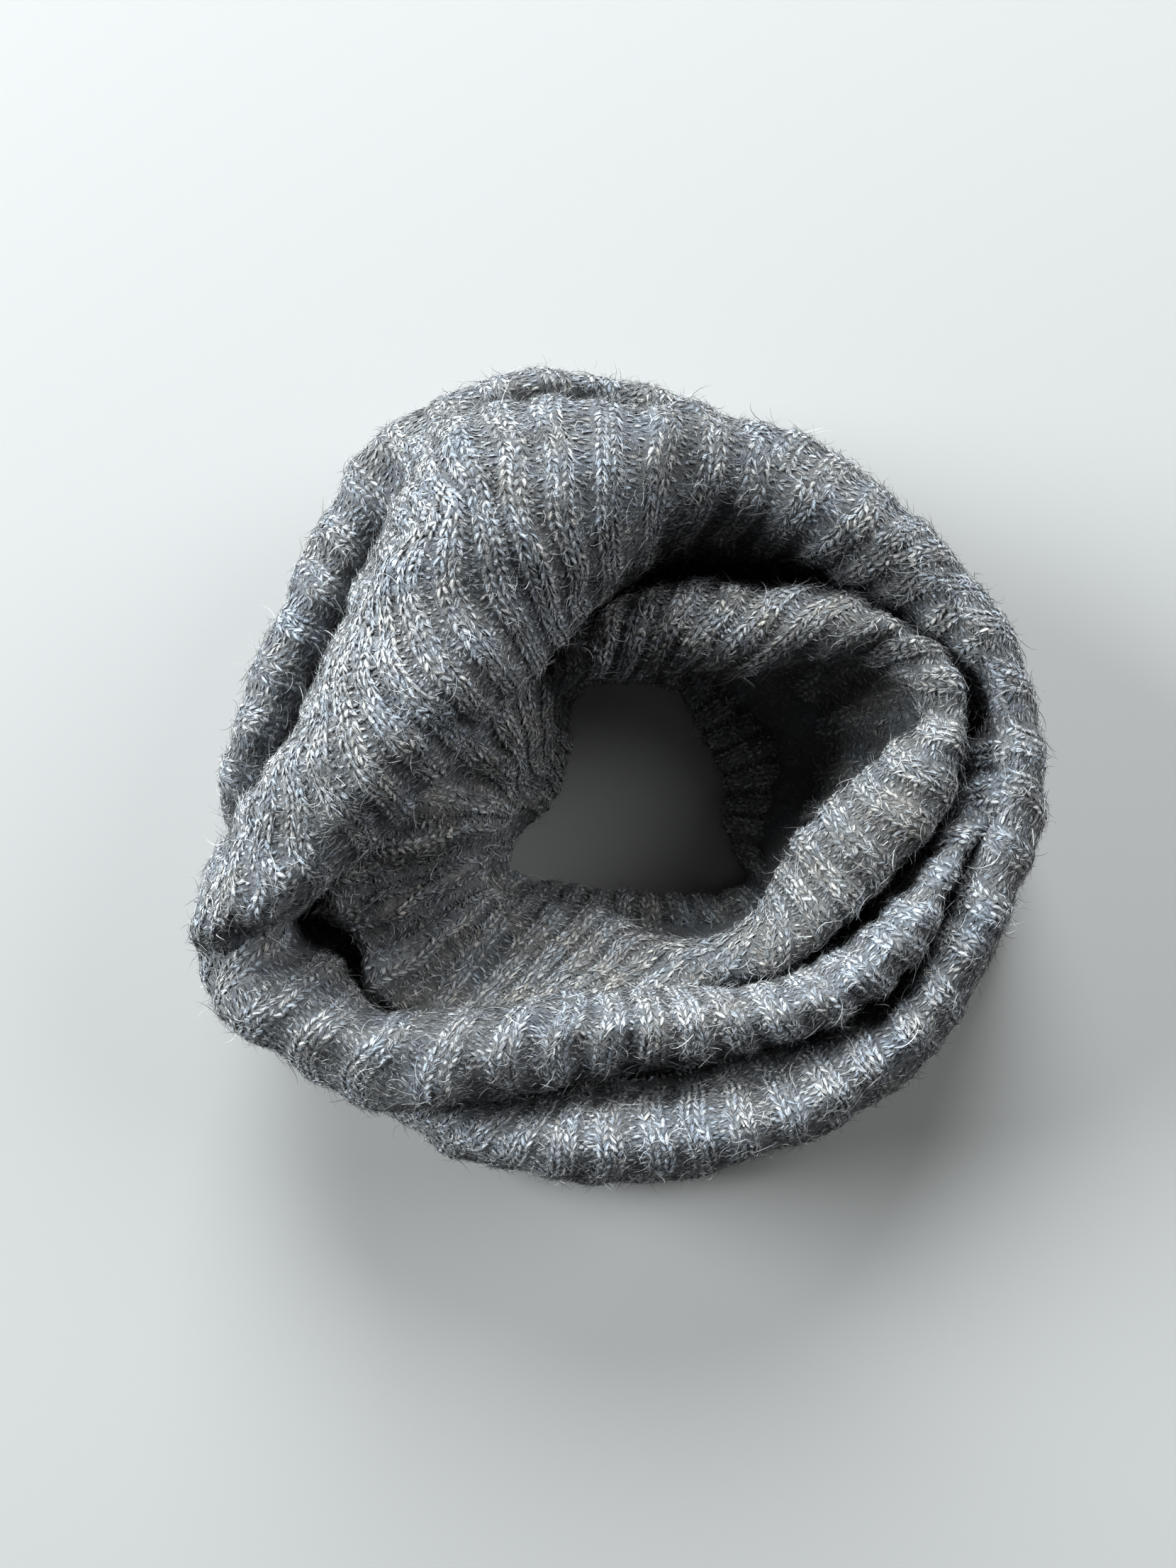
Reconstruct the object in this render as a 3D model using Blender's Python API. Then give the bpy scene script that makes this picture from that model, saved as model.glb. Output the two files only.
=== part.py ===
"""Infinity scarf: a wide tube of 2 x 2 ribbed wool, folded on itself and heaped in a ring on a flat surface.

Lengths in the tables are millimetres and become metres where the meshes are made. The tables are read round
the ring: angles are in degrees, anticlockwise seen from above, from +X. r is the distance from the ring's
middle and z the height over the surface it lies on.
"""

import math

import bpy
import numpy as np
from mathutils import Vector

METRES = 0.001

# The cloth and its ribs
WALL = 3.0
RIB_RISE = 1.1
SEAM_GAP = 0.6
LAYER_GAP = 1.0
RIB_POINTS = (0.0, 1.0, 1.0)
RIB_FADE = 0.2

# The meshes: rows along each stretch, angles shared by every plain inner side
LOWER_ROWS = 6
OUTER_ROWS = 8
TOP_ROWS = 12
INNER_ROWS = 10
LINING_ROWS = 8
PLAIN_STEP = 8
BUSY_SPANS = ((0, 48), (184, 232))
SPAN_STEPS = 8

# The hidden layers: rays fanned from their middle, their distance inside the cloth's outer face, and the height
# of their upright sides over the table
CORE_RAYS = 18
CORE_MIDDLE = 20.0
CORE_DEPTH = 5.0
CORE_RISER = 4.2
CORE_STEP = 0.5
CORE_LONGEST = 110.0

# A roll is rounded between its edge and its crest at this share of the run and of the rise. A slope that only
# falls from its edge is left straight.
SHOULDER_RUN = 0.36
SHOULDER_RISE = 0.77

# The groove between the outer turn and the lower fold
TUCK_IN = 5.0

# The lower fold: how far in its underside starts, and where it leaves the table
TOE_IN = 17.0
HEEL_IN = 7.0
HEEL_HEIGHT = 0.8
FOLD_TOP_IN = 8.0

# The lowest layer round the middle hole: height of its edge, and how far out its underside runs
HOLE_EDGE_HEIGHT = 6.0
HOLE_TOE_PAST_TROUGH = 5.0
HOLE_HEEL_OUT = 3.0
HOLE_HEEL_HEIGHT = 0.6

# Lower fold: angle, edge r, edge z, top z, groove z
LOWER_FOLD = (
    (0, 129.5, 13.0, 25.0, 28.0),
    (30, 126.0, 12.0, 22.5, 26.5),
    (60, 121.5, 13.5, 25.0, 28.5),
    (75, 121.0, 14.5, 27.0, 30.0),
    (90, 127.0, 13.5, 25.5, 28.5),
    (110, 131.0, 11.5, 21.5, 25.5),
    (130, 129.0, 12.5, 24.0, 27.5),
    (150, 125.0, 14.0, 26.0, 29.0),
    (170, 125.0, 12.5, 23.5, 26.5),
    (190, 130.0, 11.0, 21.0, 24.5),
    (205, 133.0, 11.5, 21.5, 24.5),
    (225, 132.5, 12.0, 22.0, 25.5),
    (240, 131.5, 13.5, 25.0, 28.5),
    (255, 130.0, 14.5, 27.5, 31.0),
    (270, 128.5, 13.5, 25.5, 29.0),
    (285, 128.5, 12.0, 22.5, 26.5),
    (300, 130.0, 12.5, 23.5, 27.0),
    (320, 131.5, 14.5, 27.0, 30.5),
    (345, 131.5, 13.5, 26.0, 29.0),
)

# Outer turn: angle, edge r, edge z, crest r, crest z
OUTER_TURN = (
    (0, 121.0, 46.0, 107.5, 73.0),
    (15, 120.5, 46.0, 109.5, 73.5),
    (30, 117.5, 48.0, 105.0, 76.5),
    (45, 115.5, 50.0, 101.0, 78.5),
    (60, 114.0, 50.0, 99.0, 79.0),
    (70, 113.5, 48.5, 105.5, 73.5),
    (78, 114.8, 46.0, 111.0, 64.5),
    (85, 118.5, 43.5, 115.5, 57.5),
    (92, 123.5, 42.0, 118.5, 56.5),
    (105, 128.5, 42.0, 122.5, 57.0),
    (120, 129.0, 48.0, 121.0, 66.0),
    (135, 124.5, 46.0, 112.5, 60.0),
    (150, 119.0, 44.0, 107.5, 58.0),
    (165, 118.5, 44.0, 107.5, 58.0),
    (179, 122.5, 42.0, 116.0, 53.0),
    (188, 124.0, 35.0, 118.5, 41.0),
    (200, 122.5, 32.5, 116.0, 37.0),
    (216, 120.5, 32.5, 114.5, 37.0),
    (229, 119.5, 35.5, 114.0, 42.0),
    (240, 117.5, 43.0, 111.5, 54.0),
    (247, 116.0, 46.0, 106.5, 67.0),
    (256, 114.5, 48.0, 100.5, 73.0),
    (270, 112.5, 50.0, 98.0, 74.0),
    (285, 111.0, 50.0, 98.0, 74.5),
    (300, 111.5, 50.0, 99.5, 74.5),
    (315, 112.0, 50.0, 101.5, 74.0),
    (330, 113.5, 50.0, 103.0, 73.5),
    (345, 117.0, 48.0, 105.5, 72.5),
)

# Groove between the outer turn and the top turn: angle, r, z
FIRST_GROOVE = (
    (0, 104.0, 70.0),
    (15, 106.5, 70.5),
    (30, 101.5, 74.0),
    (45, 95.0, 77.0),
    (60, 95.5, 79.5),
    (70, 102.5, 76.0),
    (78, 108.0, 67.0),
    (85, 110.8, 57.5),
    (92, 112.8, 53.5),
    (105, 117.0, 54.5),
    (113, 118.5, 64.0),
    (121, 116.0, 71.0),
    (128, 109.0, 66.0),
    (137, 103.0, 53.0),
    (150, 98.5, 45.0),
    (165, 99.5, 45.0),
    (175, 105.5, 45.0),
    (183, 107.4, 43.0),
    (191, 109.5, 39.5),
    (203, 108.5, 37.0),
    (217, 107.5, 37.0),
    (229, 107.5, 41.5),
    (240, 104.5, 48.5),
    (247, 99.5, 48.0),
    (254, 94.0, 46.0),
    (262, 88.5, 45.0),
    (275, 86.0, 44.0),
    (288, 86.0, 44.0),
    (302, 89.5, 46.0),
    (316, 94.0, 50.0),
    (332, 97.0, 52.0),
    (345, 98.0, 58.0),
    (353, 100.8, 65.5),
)

# Top turn: angle, edge r, edge z, crest r, crest z, inner edge r, inner edge z
TOP_TURN = (
    (0, 102.0, 67.0, 100.0, 62.0, 98.3, 55.0),
    (15, 105.2, 66.5, 104.2, 62.0, 103.6, 57.5),
    (30, 99.5, 71.5, 97.8, 67.5, 96.8, 62.0),
    (45, 93.8, 76.2, 91.5, 73.0, 88.3, 64.0),
    (60, 93.5, 79.8, 88.5, 77.5, 81.5, 66.0),
    (70, 101.0, 77.5, 94.5, 80.5, 79.0, 68.0),
    (78, 106.0, 71.0, 91.5, 84.0, 76.0, 69.0),
    (85, 108.5, 65.5, 87.5, 89.5, 70.5, 71.0),
    (92, 110.4, 63.5, 80.5, 96.0, 62.5, 73.0),
    (105, 115.0, 62.0, 74.0, 102.0, 53.5, 78.0),
    (113, 116.0, 68.5, 71.5, 104.0, 49.0, 80.0),
    (121, 112.0, 75.5, 69.5, 105.0, 45.0, 82.0),
    (128, 106.0, 71.5, 68.0, 105.5, 43.0, 83.0),
    (135, 99.5, 66.0, 67.0, 106.0, 42.0, 84.0),
    (150, 95.0, 63.0, 63.5, 106.0, 43.0, 84.0),
    (165, 96.5, 63.0, 66.0, 105.0, 48.0, 82.0),
    (178, 106.0, 62.0, 75.5, 101.0, 56.5, 78.0),
    (190, 122.5, 57.0, 90.0, 92.0, 70.0, 74.0),
    (196, 129.5, 56.5, 100.5, 85.0, 83.5, 71.0),
    (203, 135.5, 55.0, 119.0, 74.0, 106.0, 58.0),
    (209, 133.5, 54.0, 117.0, 76.5, 102.5, 59.0),
    (211, 131.5, 54.0, 114.5, 77.0, 99.5, 60.0),
    (217, 127.0, 54.0, 108.5, 78.0, 98.5, 60.0),
    (225, 122.5, 54.0, 99.5, 80.0, 90.0, 62.0),
    (232, 116.5, 57.0, 91.0, 80.5, 79.0, 62.0),
    (240, 104.3, 61.0, 83.0, 81.0, 71.0, 63.0),
    (250, 93.0, 60.0, 74.0, 80.0, 62.0, 62.0),
    (260, 83.5, 60.0, 67.0, 78.0, 59.5, 60.0),
    (275, 78.5, 58.0, 64.5, 78.0, 57.0, 60.0),
    (290, 80.0, 58.0, 66.5, 78.0, 60.0, 62.0),
    (302, 85.0, 58.0, 72.5, 79.0, 66.3, 65.0),
    (316, 90.7, 59.0, 78.5, 80.0, 72.5, 64.0),
    (332, 93.8, 60.0, 84.0, 79.0, 78.7, 62.5),
    (345, 96.0, 64.0, 90.0, 72.0, 85.8, 61.0),
    (353, 99.0, 66.0, 96.0, 66.0, 92.5, 58.0),
)

# Groove or hollow between the top turn and the inner turn: angle, r, z
SECOND_GROOVE = (
    (0, 96.3, 49.0),
    (15, 102.2, 51.0),
    (30, 96.0, 46.0),
    (45, 87.0, 34.0),
    (60, 77.0, 27.0),
    (75, 70.5, 28.0),
    (90, 61.5, 33.0),
    (105, 53.0, 38.0),
    (120, 49.6, 45.5),
    (135, 50.0, 62.0),
    (150, 51.0, 66.0),
    (165, 55.0, 64.0),
    (178, 63.0, 59.0),
    (190, 76.0, 50.0),
    (196, 86.0, 43.0),
    (203, 99.0, 37.0),
    (208, 98.5, 36.0),
    (212, 96.5, 40.0),
    (218, 98.5, 50.0),
    (226, 89.5, 54.0),
    (240, 72.0, 56.0),
    (255, 61.0, 55.0),
    (270, 58.5, 53.0),
    (285, 59.0, 55.0),
    (300, 65.7, 55.0),
    (315, 71.5, 52.5),
    (330, 77.3, 50.5),
    (345, 84.8, 49.0),
    (353, 91.5, 50.0),
)

# Inner turn: angle, edge r, edge z, crest r, crest z, inner edge r, inner edge z
INNER_TURN = (
    (0, 93.0, 60.0, 82.0, 74.0, 62.0, 60.0),
    (8, 97.0, 60.0, 89.0, 74.0, 74.5, 60.0),
    (15, 99.8, 60.0, 95.0, 71.0, 87.5, 60.0),
    (22, 98.5, 60.0, 94.0, 71.0, 86.5, 60.0),
    (30, 93.5, 57.0, 88.5, 71.0, 80.0, 58.0),
    (37, 88.5, 55.0, 80.0, 72.0, 65.0, 57.0),
    (45, 83.5, 54.0, 68.5, 71.0, 49.0, 56.0),
    (60, 71.0, 53.0, 57.0, 70.0, 41.0, 56.0),
    (75, 64.0, 52.0, 49.5, 68.0, 37.0, 54.0),
    (90, 58.5, 50.0, 45.5, 66.0, 34.5, 52.0),
    (105, 50.5, 48.0, 42.0, 62.0, 35.0, 50.0),
    (115, 47.5, 46.0, 41.5, 54.0, 35.5, 44.0),
    (123, 46.5, 46.0, 42.5, 46.0, 37.0, 32.0),
    (135, 48.0, 58.0, 44.5, 50.0, 33.0, 24.0),
    (150, 49.0, 61.0, 45.0, 54.0, 29.5, 24.0),
    (165, 53.0, 59.0, 47.0, 52.0, 30.0, 22.0),
    (178, 61.0, 55.0, 53.0, 48.0, 33.0, 20.0),
    (188, 71.0, 52.0, 58.0, 54.0, 36.0, 30.0),
    (194, 79.0, 46.0, 63.0, 52.5, 39.0, 31.0),
    (200, 88.5, 49.0, 69.0, 47.0, 43.0, 24.0),
    (206, 91.5, 54.0, 75.0, 58.0, 48.0, 34.0),
    (211, 91.5, 53.0, 77.0, 51.0, 51.0, 27.0),
    (217, 94.0, 55.0, 79.5, 56.0, 52.0, 32.0),
    (222, 92.0, 56.5, 75.0, 53.0, 50.0, 26.0),
    (228, 85.0, 53.0, 70.0, 46.0, 46.0, 20.0),
    (240, 70.0, 54.5, 61.0, 48.0, 41.0, 20.0),
    (255, 59.0, 53.0, 53.0, 46.0, 38.0, 22.0),
    (270, 56.5, 51.0, 51.5, 45.5, 40.5, 26.0),
    (285, 57.0, 54.0, 53.5, 51.5, 47.0, 35.0),
    (300, 63.5, 57.0, 59.0, 59.0, 51.0, 44.0),
    (315, 68.5, 59.0, 62.0, 66.0, 51.0, 48.0),
    (330, 73.8, 58.0, 65.0, 71.0, 50.0, 52.0),
    (345, 81.3, 58.0, 72.0, 73.0, 51.5, 56.0),
)

# Lowest layer inside the ring: angle, tuck r, tuck z, wall r, wall z, trough r, trough z, fold r, fold z, hole r
LINING = (
    (0, 66.0, 46.0, 62.5, 26.0, 55.0, 10.0, 44.0, 17.0, 34.2),
    (15, 89.0, 46.0, 70.0, 25.0, 56.0, 9.0, 43.5, 16.0, 33.0),
    (30, 81.0, 44.0, 68.0, 23.0, 55.5, 9.0, 42.5, 15.5, 31.8),
    (45, 56.0, 41.0, 58.0, 24.0, 52.0, 12.0, 43.0, 14.0, 33.5),
    (60, 47.5, 41.0, 52.0, 25.0, 49.0, 15.0, 44.0, 12.5, 37.5),
    (75, 43.5, 39.0, 50.0, 24.0, 48.0, 15.0, 43.5, 12.5, 37.0),
    (90, 40.5, 37.0, 47.5, 24.0, 46.5, 15.0, 42.5, 12.5, 36.5),
    (105, 39.0, 36.0, 44.5, 23.0, 44.5, 15.0, 41.5, 12.0, 36.5),
    (117, 37.5, 31.0, 40.0, 21.0, 40.5, 15.0, 38.5, 11.5, 35.0),
    (126, 35.0, 25.0, 35.0, 18.5, 35.0, 14.5, 33.8, 11.0, 30.8),
    (138, 30.5, 19.5, 29.0, 16.3, 27.7, 13.5, 26.5, 10.6, 24.2),
    (150, 27.5, 19.5, 26.3, 16.3, 25.2, 13.5, 24.3, 10.6, 22.4),
    (168, 27.5, 18.0, 26.0, 15.5, 24.8, 13.0, 23.6, 10.5, 21.6),
    (180, 30.5, 17.0, 28.5, 15.0, 26.6, 13.0, 24.9, 10.7, 22.5),
    (190, 34.5, 21.0, 32.0, 17.0, 30.0, 13.8, 28.2, 11.0, 25.5),
    (200, 41.5, 18.5, 40.0, 15.8, 38.3, 13.2, 36.5, 10.8, 33.6),
    (208, 49.5, 23.0, 48.7, 17.5, 47.8, 14.0, 46.6, 11.0, 44.0),
    (215, 51.5, 24.0, 51.0, 18.5, 50.3, 14.5, 49.3, 11.2, 46.7),
    (224, 48.5, 19.5, 47.7, 16.5, 46.7, 13.5, 45.4, 10.8, 42.8),
    (236, 42.5, 16.5, 42.0, 14.5, 41.3, 12.7, 40.0, 10.8, 37.2),
    (250, 38.5, 18.0, 39.5, 14.5, 39.3, 12.3, 38.3, 10.6, 35.5),
    (268, 41.0, 21.0, 42.0, 16.5, 41.0, 12.8, 38.6, 11.5, 34.0),
    (285, 49.0, 29.0, 49.5, 19.5, 46.5, 13.0, 42.0, 12.5, 36.0),
    (300, 53.5, 36.0, 55.0, 24.0, 53.0, 14.5, 48.0, 12.5, 40.6),
    (312, 54.5, 38.0, 58.0, 23.0, 57.5, 14.0, 53.0, 13.0, 46.2),
    (322, 54.5, 40.0, 60.5, 24.0, 60.5, 15.0, 57.0, 13.0, 50.5),
    (332, 54.0, 41.0, 58.0, 24.0, 55.0, 14.0, 49.0, 14.5, 41.5),
    (342, 54.5, 43.0, 57.0, 26.0, 52.5, 13.0, 44.5, 16.5, 35.5),
    (350, 57.5, 45.0, 58.0, 26.0, 53.0, 12.0, 43.5, 17.0, 34.2),
)

# How far round a rib has drifted by the far end of its stretch: angle at its outer end, drift in degrees
TOP_DRIFT = (
    (60, 0.0),
    (92, 0.0),
    (105, 8.0),
    (120, 15.0),
    (150, 17.0),
    (180, 14.0),
    (192, 8.0),
    (204, 0.0),
    (225, -4.0),
    (260, 0.0),
)
INNER_DRIFT = (
    (180, 0.0),
    (200, 4.0),
    (222, -4.0),
    (245, -8.0),
    (270, -5.0),
    (300, 0.0),
)
NO_DRIFT = (
    (0, 0.0),
    (180, 0.0),
)

# Round the ring, ribs on each stretch
LOWER_RIBS = 48
OUTER_RIBS = 48
TOP_RIBS = 38
INNER_RIBS = 30
LINING_RIBS = 30


def at_angle(table, angle):
    """The columns of a table at this angle, smoothly and all the way round, with no overshoot between rows."""
    rows = len(table)
    angle %= 360
    after = next((i for i, row in enumerate(table) if row[0] > angle), rows)
    around = [table[(after + k) % rows] for k in (-2, -1, 0, 1)]
    x = []
    for k, row in zip((-2, -1, 0, 1), around):
        x.append(row[0] + 360 * math.floor((after + k) / rows))
    share = (angle - x[1]) / (x[2] - x[1])
    values = []
    for column in range(1, len(table[0])):
        y = [row[column] for row in around]
        slopes = [(y[k + 1] - y[k]) / (x[k + 1] - x[k]) for k in range(3)]
        starts = [gentle(slopes[k], slopes[k + 1]) * (x[2] - x[1]) for k in range(2)]
        values.append(hermite(y[1], y[2], starts[0], starts[1], share))
    return values


def gentle(before, after):
    """The slope at a row between two slopes: their harmonic mean, or level at a turning point."""
    if before * after <= 0:
        return 0.0
    return 2 * before * after / (before + after)


def hermite(start, end, start_slope, end_slope, share):
    """The cubic between two values with these slopes."""
    left = 1 - share
    return (
        start * (1 + 2 * share) * left**2
        + end * (1 + 2 * left) * share**2
        + start_slope * share * left**2
        - end_slope * left * share**2
    )


def shoulder(edge, crest):
    """The point that rounds a roll between its edge and its crest, or lies on the slope where nothing rises."""
    rise = crest[1] - edge[1]
    return (
        edge[0] + (crest[0] - edge[0]) * SHOULDER_RUN,
        edge[1] + rise * (SHOULDER_RISE if rise > 0 else SHOULDER_RUN),
    )


def control_points(angle):
    """The cross-section at this angle, as a list of (r, z) for each stretch, from the outside to the hole."""
    fold_r, fold_z, fold_top_z, groove_z = at_angle(LOWER_FOLD, angle)
    outer_edge_r, outer_edge_z, outer_crest_r, outer_crest_z = at_angle(OUTER_TURN, angle)
    tuck = (outer_edge_r - TUCK_IN, groove_z)
    lower = [
        (fold_r - TOE_IN, 0.0),
        (fold_r - HEEL_IN, HEEL_HEIGHT),
        (fold_r, fold_z),
        (fold_r - FOLD_TOP_IN, fold_top_z),
        tuck,
    ]
    outer_edge = (outer_edge_r, outer_edge_z)
    outer_crest = (outer_crest_r, outer_crest_z)
    first_groove = tuple(at_angle(FIRST_GROOVE, angle))
    outer = [
        tuck,
        outer_edge,
        shoulder(outer_edge, outer_crest),
        outer_crest,
        shoulder(first_groove, outer_crest),
        first_groove,
    ]
    top_r, top_z, top_crest_r, top_crest_z, top_in_r, top_in_z = at_angle(TOP_TURN, angle)
    top_edge = (top_r, top_z)
    top_crest = (top_crest_r, top_crest_z)
    top_in = (top_in_r, top_in_z)
    second_groove = tuple(at_angle(SECOND_GROOVE, angle))
    top = [
        first_groove,
        top_edge,
        shoulder(top_edge, top_crest),
        top_crest,
        shoulder(top_in, top_crest),
        top_in,
        second_groove,
    ]
    edge_r, edge_z, crest_r, crest_z, in_r, in_z = at_angle(INNER_TURN, angle)
    inner_edge = (edge_r, edge_z)
    inner_crest = (crest_r, crest_z)
    inner_in = (in_r, in_z)
    tuck_r, tuck_z, wall_r, wall_z, trough_r, trough_z, fold_r, fold_z, hole_r = at_angle(LINING, angle)
    tuck = (tuck_r, tuck_z)
    inner = [
        second_groove,
        inner_edge,
        shoulder(inner_edge, inner_crest),
        inner_crest,
        shoulder(inner_in, inner_crest),
        inner_in,
        tuck,
    ]
    lining = [
        tuck,
        (wall_r, wall_z),
        (trough_r, trough_z),
        (fold_r, fold_z),
        (hole_r, HOLE_EDGE_HEIGHT),
        (hole_r + HOLE_HEEL_OUT, HOLE_HEEL_HEIGHT),
        (trough_r + HOLE_TOE_PAST_TROUGH, 0.0),
    ]
    return [lower, outer, top, inner, lining]


def smooth_line(points):
    """A rounded line through all the points: Catmull-Rom, spaced by the square root of each chord."""
    first = (2 * points[0][0] - points[1][0], 2 * points[0][1] - points[1][1])
    last = (2 * points[-1][0] - points[-2][0], 2 * points[-1][1] - points[-2][1])
    padded = [Vector(p) for p in [first, *points, last]]
    line = []
    for p0, p1, p2, p3 in zip(padded, padded[1:], padded[2:], padded[3:]):
        t1 = math.sqrt((p1 - p0).length)
        t2 = t1 + math.sqrt((p2 - p1).length)
        t3 = t2 + math.sqrt((p3 - p2).length)
        for step in range(SPAN_STEPS):
            t = t1 + (t2 - t1) * step / SPAN_STEPS
            a1 = p0.lerp(p1, t / t1)
            a2 = p1.lerp(p2, (t - t1) / (t2 - t1))
            a3 = p2.lerp(p3, (t - t2) / (t3 - t2))
            b1 = a1.lerp(a2, t / t2)
            b2 = a2.lerp(a3, (t - t1) / (t3 - t1))
            line.append(b1.lerp(b2, (t - t1) / (t2 - t1)))
    line.append(padded[-2])
    return line


def stretch_lines(angle):
    """The smooth section at this angle, cut into its stretches, as lists of (point, outward direction)."""
    stretches = control_points(angle)
    chain = list(stretches[0])
    for stretch in stretches[1:]:
        chain += stretch[1:]
    line = smooth_line(chain)
    ahead = line[1:] + [line[-1] * 2 - line[-2]]
    behind = [line[0] * 2 - line[1]] + line[:-1]
    outward = []
    for before, after in zip(behind, ahead):
        along = (after - before).normalized()
        outward.append(Vector((along.y, -along.x)))
    cut, start = [], 0
    for stretch in stretches:
        end = start + SPAN_STEPS * (len(stretch) - 1)
        cut.append((line[start : end + 1], outward[start : end + 1]))
        start = end
    return cut


def resample(line, outward, shares):
    """Points and outward directions at these shares of the line's length, with half the seam gap left at each end."""
    lengths = [0.0]
    for a, b in zip(line, line[1:]):
        lengths.append(lengths[-1] + (b - a).length)
    half_gap = SEAM_GAP / 2
    found, k = [], 0
    for share in shares:
        reach = half_gap + share * (lengths[-1] - SEAM_GAP)
        while k < len(line) - 2 and lengths[k + 1] < reach:
            k += 1
        part = (reach - lengths[k]) / (lengths[k + 1] - lengths[k])
        found.append((line[k].lerp(line[k + 1], part), outward[k].lerp(outward[k + 1], part).normalized()))
    return found


def place(angle, r, z):
    """A point of the ring in world axes, in metres, never under the surface that the scarf lies on."""
    turn = math.radians(angle)
    return Vector((r * math.cos(turn), r * math.sin(turn), max(z, 0.0))) * METRES


def plain_angles():
    """The angles of every plain inner side: twice as close where the folds turn fastest."""
    angles = []
    for angle in range(0, 360, PLAIN_STEP):
        angles.append(angle)
        if any(start <= angle < end for start, end in BUSY_SPANS):
            angles.append(angle + PLAIN_STEP // 2)
    return angles


def bridge(faces, ring_a, angles_a, ring_b, angles_b):
    """Triangles between two closed rings with different points, matched by angle."""
    i = j = 0
    while i < len(ring_a) or j < len(ring_b):
        next_a = angles_a[(i + 1) % len(ring_a)] + 360 * ((i + 1) // len(ring_a))
        next_b = angles_b[(j + 1) % len(ring_b)] + 360 * ((j + 1) // len(ring_b))
        a = ring_a[i % len(ring_a)]
        b = ring_b[j % len(ring_b)]
        if j >= len(ring_b) or (i < len(ring_a) and next_a <= next_b):
            faces.append((a, ring_a[(i + 1) % len(ring_a)], b))
            i += 1
        else:
            faces.append((a, ring_b[(j + 1) % len(ring_b)], b))
            j += 1


def ring_faces(rings, outside):
    """Quads between neighbouring closed rings of equal length."""
    faces = []
    for low, high in zip(rings, rings[1:]):
        for k in range(len(low)):
            after = (k + 1) % len(low)
            quad = (low[k], low[after], high[after], high[k])
            faces.append(quad if outside else quad[::-1])
    return faces


def rib_rise(column, share):
    """How far the cloth rises here: knit columns stand up, purl columns lie back, and both die out in the grooves."""
    from_end = min(share, 1 - share) / RIB_FADE
    fade = min(from_end, 1.0)
    return RIB_RISE * RIB_POINTS[column % len(RIB_POINTS)] * fade


def cloth_wall(name, index, rows, inside_rows, ribs, drift, colour, collection):
    """One stretch of the scarf: a ribbed outside over a plain inside, closed along both long edges."""
    columns = ribs * len(RIB_POINTS)
    shares = [row / rows for row in range(rows + 1)]
    grid = [[None] * columns for _ in shares]
    edge_angles = [[], []]
    for column in range(columns):
        start = 360 * column / columns
        turn, = at_angle(drift, start)
        edge_angles[0].append(start)
        edge_angles[1].append(start + turn)
        for row, share in enumerate(shares):
            angle = start + turn * share
            point, outward = resample(*stretch_lines(angle)[index], [share])[0]
            point += outward * rib_rise(column, share)
            grid[row][column] = place(angle, *point)
    angles = plain_angles()
    inside_shares = [row / inside_rows for row in range(inside_rows + 1)]
    inside = [[None] * len(angles) for _ in inside_shares]
    for column, angle in enumerate(angles):
        for row, (point, outward) in enumerate(resample(*stretch_lines(angle)[index], inside_shares)):
            inside[row][column] = place(angle, *(point - outward * WALL))
    rings = [list(range(row * columns, (row + 1) * columns)) for row in range(rows + 1)]
    first = (rows + 1) * columns
    inner_rings = []
    for row in range(len(inside_shares)):
        start = first + row * len(angles)
        inner_rings.append(list(range(start, start + len(angles))))
    faces = ring_faces(rings, True) + ring_faces(inner_rings, False)
    rim = []
    bridge(rim, rings[0], edge_angles[0], inner_rings[0], angles)
    faces += [face[::-1] for face in rim]
    bridge(faces, rings[-1], edge_angles[1], inner_rings[-1], angles)
    points = [p for ring in grid for p in ring] + [p for ring in inside for p in ring]
    return add_object(name, points, faces, colour, collection)


def reach_inside(angle):
    """How far the hidden layers reach from their middle before they meet the walls, along rays fanned over the top."""
    sections = stretch_lines(angle)
    line = np.array([tuple(point) for stretch, _ in sections for point in stretch])
    toe = line[0][0] - LAYER_GAP
    heel = line[-1][0] + LAYER_GAP
    middle = np.array(((toe + heel) / 2, CORE_MIDDLE))
    low = CORE_RISER - CORE_MIDDLE
    first = math.atan2(low, toe - middle[0])
    last = math.atan2(low, heel - middle[0]) + 2 * math.pi
    turns = np.linspace(first, last, CORE_RAYS)
    rays = np.stack((np.cos(turns), np.sin(turns)), axis=1)
    lengths = np.arange(CORE_STEP, CORE_LONGEST, CORE_STEP)
    tries = middle + rays[:, None] * lengths[None, :, None]
    from_wall = np.linalg.norm(tries[:, :, None] - line[None, None], axis=3).min(axis=2)
    blocked = (from_wall < CORE_DEPTH) | (tries[:, :, 1] < CORE_RISER)
    reach = lengths[blocked.argmax(axis=1)] - CORE_STEP
    return toe, heel, middle, rays, reach


def hidden_layers(name, colour, collection):
    """The layers under the ones that show, as one rounded solid inside their walls, flat where it rests."""
    angles = plain_angles()
    found = [reach_inside(angle) for angle in angles]
    reaches = np.array([reach for _, _, _, _, reach in found])
    near = [np.roll(reaches, (turn, ray), axis=(0, 1)) for turn in (-1, 0, 1) for ray in (-1, 0, 1)]
    reaches = np.minimum.reduce(near)
    points = []
    for angle, (toe, heel, middle, rays, _), reach in zip(angles, found, reaches):
        fan = middle + rays[1:-1] * reach[1:-1, None]
        section = [(toe, 0.0), (toe, CORE_RISER), *fan, (heel, CORE_RISER), (heel, 0.0)]
        points += [place(angle, *point) for point in section]
    rows = len(points) // len(angles)
    by_row = [[column * rows + row for column in range(len(angles))] for row in range(rows)]
    faces = ring_faces(by_row + by_row[:1], True)
    return add_object(name, points, faces, colour, collection)


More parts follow.
